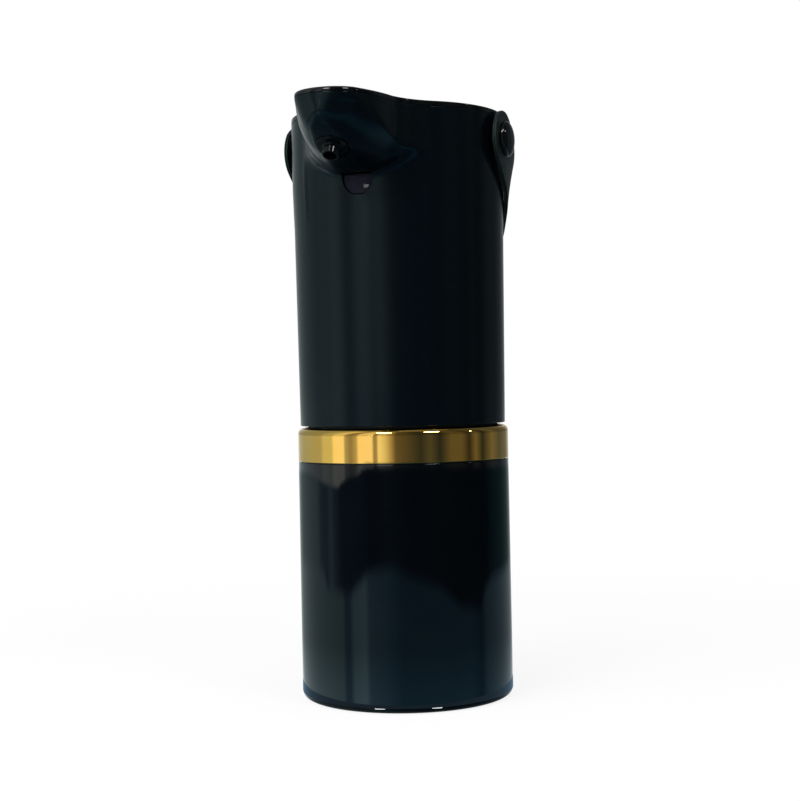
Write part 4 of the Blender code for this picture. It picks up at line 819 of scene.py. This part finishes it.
def add_lid():
    """The lid from its button hole over its top and rounded edge to its underside."""
    plan = beak_plan(0.0)
    hole = button_radius + 2 * seat_gap + ring_width
    centre = Vector((0.0, button_y))
    outline = []
    for angle in outline_angles(plan):
        radius = plan_radius(angle, plan)
        outline.append(Vector((radius * sin(angle), -radius * cos(angle))))
    columns = []
    steps = 6
    for i, point in enumerate(outline):
        beak_share = max(0.0, point.length - casing_top_radius) / (beak_reach - casing_top_radius)
        lid_round = body_round + (beak_round - body_round) * beak_share
        tangent = (outline[(i + 1) % len(outline)] - outline[i - 1]).normalized()
        outward = Vector((tangent.y, -tangent.x))
        if outward.dot(point - centre) < 0:
            outward = -outward
        inner = centre + (point - centre).normalized() * hole
        column = [(inner, lid_low), (inner, lid_top)]
        for share in (0.3, 0.6, 0.85):
            column.append((inner.lerp(point - outward * lid_round, share), lid_top))
        for k in range(steps + 1):
            turn = pi / 2 * k / steps
            place = point - outward * lid_round * (1 - sin(turn))
            column.append((place, lid_top - lid_round * (1 - cos(turn))))
        column.append((point, lid_low - lid_skirt))
        column.append((point - outward * edge_round, lid_low - lid_skirt))
        columns.append([Vector((p.x, p.y, z)) for p, z in column])
    loft("lid", columns, "gloss_black", node="top_lid", body="head")


def add_button():
    place = Matrix.Translation((0.0, button_y, 0.0))
    inner = button_radius + seat_gap
    outer = inner + ring_width
    flange = outer + ring_flange
    under = lid_low - seat_gap
    low = under - ring_flange_thickness
    ring = [(inner, low, 0), (inner, lid_top, 0.0002), (outer, lid_top, 0.0002), (outer, under, 0)]
    ring += [(flange, under, 0), (flange, low, 0)]
    lathe("light_ring_smooth", rounded(ring), "light_plastic", round_steps, place, closed=True,
          node="light_ring", body="head")
    top = lid_top + button_proud
    base = top - button_height
    stem_low = base - button_stem_length
    dish = [(button_radius * 0.8 * k / 12, top - button_dish * (1 - (k / 12) ** 2)) for k in range(13)]
    corners = [(button_radius * 0.82, top, 0), (button_radius, top, 0.0005), (button_radius, base, 0.0002)]
    corners += [(button_stem_radius, base, 0), (button_stem_radius, stem_low, 0), (0.0, stem_low, 0)]
    lathe("button_smooth", dish + rounded(corners), "gloss_black", round_steps, place,
          node="power_button", body="button")


# Bottle, band and pad


def add_bottle():
    recess = pad_radius + seat_gap
    pad_seat = pad_thickness + seat_gap
    corners = [
        (0.0, bottle_inner_floor, 0),
        (bottle_inner_radius, bottle_inner_floor, bottle_inner_fillet),
        (bottle_inner_radius, bottle_rim, 0.0004),
        (neck_step_radius, bottle_rim, 0.0004),
        (neck_step_radius, shoulder_height, 0),
        (bottle_neck_radius, shoulder_height, edge_round),
        (bottle_radius, bottle_bottom, bottle_base_fillet),
        (recess, bottle_bottom, edge_round),
        (recess, pad_seat, 0),
        (0.0, pad_seat, 0),
    ]
    lathe("bottle_smooth", rounded(corners, 10), "gloss_black", node="bottle", body="bottle")
    lip_low = band_top - band_lip
    corners = [
        (band_inner_radius, band_bottom, 0),
        (band_inner_radius, lip_low, 0),
        (band_lip_inner_radius, lip_low, 0),
        (band_lip_inner_radius, band_top, 0.0002),
        (band_radius, band_top, band_round),
        (band_radius, band_bottom, 0.00015),
    ]
    lathe("gold_band_smooth", rounded(corners, 10), "gilt", closed=True, node="gold_band", body="bottle")
    corners = [(0.0, pad_thickness, 0), (pad_radius, pad_thickness, pad_edge), (pad_radius, 0.0, pad_edge)]
    corners += [(r, z, 0) for r, z in pad_groove] + [(0.0, 0.0, 0)]
    lathe("base_pad_smooth", rounded(corners), "rubber_black", node="base_pad", body="bottle")


# Nozzle and window


def add_nozzle():
    collar_end = nozzle_reach + collar_length
    flange_end = collar_end + nozzle_flange_thickness
    corners = [
        (nozzle_bore, 0.0, 0.0002),
        (nozzle_bore, flange_end, 0),
        (nozzle_flange_radius, flange_end, 0),
        (nozzle_flange_radius, collar_end, 0),
        (collar_radius, collar_end, 0),
        (collar_radius, nozzle_reach, 0.0004),
        (nozzle_radius, nozzle_reach, 0.0005),
        (nozzle_radius, 0.0, 0.0002),
    ]
    # The nozzle wears the duller copy of the gloss black (painted shade), in the gloss black slot.
    lathe("nozzle_smooth", rounded(corners), "nozzle_shaded_gloss", round_steps, nozzle_frame(),
          closed=True, node="nozzle", body="head", slot="gloss_black")


def add_window():
    """The smoked window: a shield on the casing's round face, with a small round along its edge."""
    outer = casing_radius(lid_top - brow_drop) - window_recess
    edge = 0.0002
    steps = 24
    half = window_width / 2 - window_gap
    top = lid_top - brow_drop - window_gap
    low = lid_top - brow_drop - window_height + window_gap
    shares = [0.0, 0.01, 0.03] + [k / steps for k in range(2, steps - 1)] + [0.97, 0.99, 1.0]
    levels = [0.0, 0.02, 0.05] + [k / steps for k in range(2, steps - 1)] + [0.95, 0.98, 1.0]
    points = []
    for back in (False, True):
        for level in levels:
            width = half * (1 - window_taper_share * level**window_taper_power)
            z = top + (low - top) * level
            for share in shares:
                x = width * (2 * share - 1)
                gap = min(width * 2 * min(share, 1 - share), (top - low) * min(level, 1 - level))
                drop = edge * (1 - min(1.0, gap / edge)) ** 2
                radius = outer - window_thickness if back else outer - drop
                points.append((x, -sqrt(radius * radius - x * x), z))
    wide = len(shares)
    tall = len(levels)
    faces = []
    for i in range(tall - 1):
        for k in range(wide - 1):
            a = i * wide + k
            faces.append((a, a + 1, a + 1 + wide, a + wide))
            b = a + wide * tall
            faces.append((b, b + wide, b + 1 + wide, b + 1))
    rim = list(range(wide)) + [i * wide + wide - 1 for i in range(1, tall)]
    rim += [(tall - 1) * wide + k for k in reversed(range(wide - 1))]
    rim += [i * wide for i in reversed(range(1, tall - 1))]
    for a, b in zip(rim, rim[1:] + rim[:1]):
        faces.append((a, a + wide * tall, b + wide * tall, b))
    add_mesh("window_smooth", points, faces, "smoked", node="sensor_window", body="head")


# Strap and studs


def smooth_share(share):
    """A share from 0 to 1 that starts and ends level."""
    held = min(1.0, max(0.0, share))
    return held * held * (3 - 2 * held)


def strap_line():
    """The strap's middle line from end to end: run, place, outward and across at every point."""
    down = Vector((0.0, sin(strap_slope), -cos(strap_slope)))
    start = strap_seat + strap_thickness / 2
    points = []
    for i in range(20):
        distance = -strap_end_radius * (1 - i / 20)
        points.append((Vector((start, 0.0, 0.0)) + down * distance, 0.0))
    steps = 120
    for i in range(steps + 1):
        turn = pi / 2 * i / steps
        drop = casing_top_radius * sin(turn) / tan(strap_slope)
        hug = casing_radius(stud_height - drop) + strap_side_gap + strap_thickness / 2
        stand = (start - hug) * (1 - smooth_share(turn / strap_bulge_end))
        stand += strap_bulge * sin(pi * min(turn, strap_bulge_end) / strap_bulge_end) ** 2
        radius = hug + stand + strap_back_gap * (turn / (pi / 2)) ** 2
        back = radius * sin(turn)
        place = Vector((radius * cos(turn), back, -back / tan(strap_slope)))
        points.append((place, turn * smooth_share(turn / strap_flat_end)))
    points += [(Vector((-p.x, p.y, p.z)), pi - turn) for p, turn in reversed(points[:-1])]
    places = np.array([tuple(p) for p, _ in points])
    run = run_along(places) - strap_end_radius
    tangent = np.gradient(places, axis=0)
    tangent /= np.linalg.norm(tangent, axis=1)[:, None]
    outward = np.array([(cos(t), sin(t), 0.0) for _, t in points])
    outward -= tangent * np.sum(outward * tangent, axis=1)[:, None]
    outward /= np.linalg.norm(outward, axis=1)[:, None]
    across = np.cross(outward, tangent)
    return run, places, outward, across


def strap_outline(length):
    """Run and half width along one edge of the strap, from tip to tip."""
    first = []
    steps = 28
    for i in range(steps):
        turn = pi / 2 * i / steps
        first.append((-strap_end_radius * cos(turn), strap_end_radius * sin(turn)))
    middle = []
    count = 150
    for i in range(count + 1):
        run = length * i / count
        away = min(run, length - run)
        narrowing = (strap_width / 2 - strap_end_radius) * smooth_share(away / strap_neck_length)
        middle.append((run, strap_end_radius + narrowing))
    last = [(length - s, w) for s, w in reversed(first)]
    return np.array(first + middle + last)


def add_strap():
    """Two plies of leather with rounded, pressed-together edges and a crease along each border."""
    run, places, outward, across = strap_line()
    length = run[-1] - strap_end_radius
    outline = strap_outline(length)
    tangent = np.gradient(outline, axis=0)
    tangent /= np.linalg.norm(tangent, axis=1)[:, None]
    inward = np.stack([tangent[:, 1], -tangent[:, 0]], 1)
    inward[0] = (1.0, 0.0)
    inward[-1] = (-1.0, 0.0)
    ply = strap_thickness / 4
    section = [
        (strap_centre_inset, 2 * ply),
        (strap_border + strap_crease_half, 2 * ply),
        (strap_border, 2 * ply - strap_crease),
        (strap_border - strap_crease_half, 2 * ply),
    ]
    for middle in (ply, -ply):
        for k in range(7):
            turn = pi / 2 - pi * k / 6
            section.append((strap_edge_depth * (1 - cos(turn)), middle + ply * sin(turn)))
    section.append((strap_centre_inset, -2 * ply))
    points = []
    for (s, w), (ns, nw) in zip(outline, inward):
        sides = []
        for inset, height in section:
            inset = min(inset, w * 0.98 + 0.00002)
            sides.append((s + inset * ns, max(0.0, w + inset * nw), height))
        ring = sides + [(r, -b, h) for r, b, h in reversed(sides)]
        for at_run, at_width, height in ring:
            place, out, side = (Vector([np.interp(at_run, run, values[:, k]) for k in range(3)])
                                for values in (places, outward, across))
            point = place + out * height + side * at_width
            points.append(point + Vector((0.0, 0.0, stud_height)))
    count = 2 * len(section)
    columns = [points[i:i + count] for i in range(0, len(points), count)]
    strap = loft("strap_leather", columns, "leather", around=False, node="strap", body="strap")
    place = stud_frame(1)
    cut(strap, stud_cutter("strap_cut", strap_cut_reach, place, "leather"))


def add_studs():
    """Domed caps with a small round at the foot, over their posts."""
    edge = 0.0007
    for name, side in (("left", -1), ("right", 1)):
        profile = []
        for k in range(33):
            share = sin(pi / 2 * k / 32)
            height = edge + (stud_cap_height - edge) * (1 - share**2.6) ** 0.62
            profile.append((stud_cap_radius * share, height))
        profile += [(stud_cap_radius, 0.0002), (stud_cap_radius - 0.0002, 0.0), (stud_post_radius, 0.0)]
        low = inner_top_radius - seat_gap - stud_face
        profile += [(stud_post_radius, low), (0.0, low)]
        place = stud_frame(side, stud_face)
        lathe(f"stud_{name}_smooth", profile, "gloss_black", round_steps, place,
              node=f"stud_{name}", body="head")


# Studio


def add_camera():
    """The photograph's view: an almost level camera at the dispenser's middle, turned to the beak's side."""
    data = bpy.data.cameras.new("camera")
    data.sensor_fit = "HORIZONTAL"
    data.sensor_width = sensor_mm
    data.lens = sensor_mm * focal_px / image_width_px
    camera = add_object("camera", data)
    place = Matrix.Rotation(camera_azimuth, 4, "Z")
    place @= Matrix.Translation((camera_shift, -camera_distance, camera_height))
    for angle, axis in ((-camera_yaw, "Z"), (pi / 2 + camera_pitch, "X"), (camera_roll, "Z")):
        place @= Matrix.Rotation(angle, 4, axis)
    camera.matrix_world = place
    bpy.context.scene.camera = camera


def seen_directly(tree):
    """1 for camera, glossy and transmission rays, 0 for the rest."""
    path = tree.nodes.new("ShaderNodeLightPath")
    either = figure(tree, "ADD", path.outputs["Is Camera Ray"], path.outputs["Is Glossy Ray"])
    return figure(tree, "MINIMUM", figure(tree, "ADD", either, path.outputs["Is Transmission Ray"]), 1.0)


def show_mixed(tree, kind, share, first, second):
    """Sends a mix of two shaders to an output."""
    mix = tree.nodes.new("ShaderNodeMixShader")
    for socket, value in zip(mix.inputs, (share, first.outputs[0], second.outputs[0])):
        tree.links.new(value, socket)
    tree.links.new(mix.outputs[0], tree.nodes.new(kind).inputs["Surface"])


def add_world():
    """White to the eye and in reflections, softer as a light."""
    world = bpy.data.worlds.new("studio")
    bpy.context.scene.world = world
    tree = empty_tree(world)
    both = []
    for strength in (world_light, 1.0):
        both.append(tree.nodes.new("ShaderNodeBackground"))
        both[-1].inputs["Strength"].default_value = strength
        both[-1].inputs["Color"].default_value = (1, 1, 1, 1)
    show_mixed(tree, "ShaderNodeOutputWorld", seen_directly(tree), *both)


def add_floor():
    """A pale floor, white to the eye, that keeps the dispenser's shadow."""
    made = bpy.data.materials.new("floor")
    tree = empty_tree(made)
    plain = tree.nodes.new("ShaderNodeBsdfDiffuse")
    plain.inputs["Color"].default_value = floor_colour
    white = tree.nodes.new("ShaderNodeEmission")
    place = tree.nodes.new("ShaderNodeTexCoord")
    away = tree.nodes.new("ShaderNodeVectorMath")
    away.operation = "LENGTH"
    tree.links.new(place.outputs["Object"], away.inputs[0])
    white_share = spread(tree, away.outputs["Value"], *floor_white, *floor_fade)
    share = figure(tree, "MULTIPLY", seen_directly(tree), white_share)
    show_mixed(tree, "ShaderNodeOutputMaterial", share, plain, white)
    corners = [(x * floor_half, y * floor_half, 0) for x, y in ((-1, -1), (1, -1), (1, 1), (-1, 1))]
    floor = add_surface("floor", corners, [(0, 1, 2, 3)], made)
    floor.visible_glossy = False


def by_direction(tree, apart, tones):
    """A colour for each direction round the dispenser."""
    ahead = figure(tree, "MULTIPLY", apart.outputs["Y"], -1.0)
    turn = figure(tree, "ARCTAN2", apart.outputs["X"], ahead)
    ramp = tree.nodes.new("ShaderNodeValToRGB")
    for i, (angle, *tone) in enumerate(tones):
        at = (angle + 180) / 360
        stop = ramp.color_ramp.elements[i] if i < 2 else ramp.color_ramp.elements.new(at)
        stop.position = at
        stop.color = (*tone, 1)
    tree.links.new(spread(tree, turn, 0.0, 1.0, -pi, pi), ramp.inputs["Fac"])
    return ramp.outputs["Color"]


def light_only(name):
    """A material of emission alone, with its tree and object coordinates."""
    made = bpy.data.materials.new(name)
    tree = empty_tree(made)
    glow = tree.nodes.new("ShaderNodeEmission")
    tree.links.new(glow.outputs[0], tree.nodes.new("ShaderNodeOutputMaterial").inputs["Surface"])
    place = tree.nodes.new("ShaderNodeTexCoord")
    return made, tree, glow, place.outputs["Object"]


def beyond_edge(tree, apart, distance, edges, width):
    """0 nearer than an edge that varies with the direction, 1 beyond it."""
    edge = by_direction(tree, apart, [(angle, height, height, height) for angle, height in edges])
    return spread(tree, figure(tree, "SUBTRACT", distance, edge), 0.0, 1.0, 0.0, width)


def light_by_place(name):
    """A material of emission alone, with its tree and its coordinates apart."""
    made, tree, glow, place = light_only(name)
    apart = tree.nodes.new("ShaderNodeSeparateXYZ")
    tree.links.new(place, apart.inputs[0])
    return made, tree, glow, apart


def wall_finish():
    """Windows and walls above their sills, dimmer further up, with the dark below them."""
    made, tree, glow, apart = light_by_place("room_walls")
    share = beyond_edge(tree, apart, apart.outputs["Z"], sill_heights, sill_depth)
    low = by_direction(tree, apart, low_tones)
    high = by_direction(tree, apart, wall_tones)
    tree.links.new(blend_colours(tree, share, low, high), glow.inputs["Color"])
    tree.links.new(spread(tree, apart.outputs["Z"], 1.0, upper_share, *window_glow), glow.inputs["Strength"])
    return made


def image_finish():
    """The room's image in the polished table top, lighter near the dispenser and dim further down."""
    made, tree, glow, apart = light_by_place("room_image")
    depth = figure(tree, "MULTIPLY", apart.outputs["Z"], -1.0)
    low = by_direction(tree, apart, low_tones)
    share = beyond_edge(tree, apart, depth, image_depths, image_edge_depth)
    image = by_direction(tree, apart, image_tones)
    tree.links.new(blend_colours(tree, share, low, image), glow.inputs["Color"])
    near = spread(tree, depth, 1.0, near_light, *near_depth)
    light = figure(tree, "MULTIPLY", near, spread(tree, depth, 1.0, deep_share, *deep_range))
    tree.links.new(light, glow.inputs["Strength"])
    return made


def soft_glow(name, tone, grain):
    """An even light with slow clouds in it."""
    made, tree, glow, place = light_only(name)
    shade = blend_colours(tree, noise(tree, place, grain), tuple(0.8 * c for c in tone), tone)
    tree.links.new(shade, glow.inputs["Color"])
    return made


def bearing(azimuth, elevation):
    """The direction at degrees round from the camera's side and up."""
    turn = camera_azimuth + radians(azimuth)
    rise = radians(elevation)
    return Vector((sin(turn) * cos(rise), -cos(turn) * cos(rise), sin(rise)))


def add_reflected(name, points, faces, made, turn=0.0):
    """A surface seen in reflections alone: it lights nothing and throws no shadow."""
    obj = add_surface(name, points, faces, made)
    obj.rotation_euler = (0, 0, turn)
    obj.visible_camera = False
    obj.visible_diffuse = False
    obj.visible_transmission = False
    obj.visible_volume_scatter = False
    obj.visible_shadow = False


def add_ring(name, rings, made):
    """A band between two (radius, height) rings round the dispenser."""
    points = []
    for radius, height in rings:
        turns = [2 * pi * k / ring_steps for k in range(ring_steps)]
        points += [(radius * cos(t), radius * sin(t), height) for t in turns]
    pairs = [(k, (k + 1) % ring_steps) for k in range(ring_steps)]
    faces = [(k, after, ring_steps + after, ring_steps + k) for k, after in pairs]
    add_reflected(name, points, faces, made, camera_azimuth)


def add_glint(name, start, azimuth):
    """A small panel below the table top that the foot of the bottle mirrors as a lamp's image."""
    away = bearing(azimuth, glint_elevation)
    place = along(Vector(start) + away * glint_distance, away)
    wide, tall = (size / 2 for size in glint_size)
    corners = ((-wide, -tall, 0.0), (wide, -tall, 0.0), (wide, tall, 0.0), (-wide, tall, 0.0))
    made, _, glow, _ = light_only(name)
    glow.inputs["Strength"].default_value = glint_light
    add_reflected(name, [place @ Vector(c) for c in corners], [(0, 1, 2, 3)], made)


def add_room():
    """The room and the table that the photograph shows mirrored in gloss and gilt."""
    above = ((0.001, room_height), (room_radius, room_height))
    add_ring("room", ((room_radius, 0.0), (room_radius, room_height)), wall_finish())
    add_ring("room_image", ((room_radius, -image_depth), (room_radius, 0.0)), image_finish())
    add_ring("room_depth", ((0.001, -image_depth), (room_radius, -image_depth)), image_finish())
    add_ring("ceiling", above, soft_glow("ceiling", ceiling_tone, 0.4))
    add_ring("foot_glow", foot_glow_rings, soft_glow("foot_glow", foot_tone, 0.03))
    add_glint("table_glint_left", (0.0039, -0.0363, 0.0021), -34.2)
    add_glint("table_glint_right", (0.0214, -0.0295, 0.0021), 35.7)


def add_lamp(name, azimuth, elevation, distance, size, power, aim=(0, 0, 0.12), tall=None, shown=True):
    """A rectangular lamp at an angle from the camera's side that faces the dispenser."""
    data = bpy.data.lights.new(name, "AREA")
    data.shape = "RECTANGLE" if tall else "DISK"
    data.size = size
    if tall:
        data.size_y = tall
    data.energy = power
    lamp = add_object(name, data)
    away = bearing(azimuth, elevation)
    lamp.matrix_world = along(Vector(aim) + away * distance, away)
    lamp.visible_glossy = shown
    lamp.visible_camera = False


finishes = make_finishes()
dress_nodes()
add_bottle()
add_casing()
add_lid()
add_button()
add_nozzle()
add_window()
add_strap()
add_studs()
add_camera()
add_world()
add_floor()
add_room()
add_lamp("window_light", -50, 25, 0.9, 0.5, 6.0, tall=0.8, shown=False)
add_lamp("ceiling_left", -25, 45, 1.0, 0.24, 2.6, tall=0.14)
add_lamp("ceiling_right", 38, 45, 1.0, 0.24, 2.6, tall=0.14)
add_lamp("side_light", 84, 24, 0.7, 0.034, 0.12, aim=(0, 0, 0.189))
add_lamp("sensor_glint", -33.4, 6.9, 0.6, 0.058, 0.009, aim=(0, 0, 0.173), tall=0.002)
bpy.context.scene.view_settings.view_transform = "Standard"
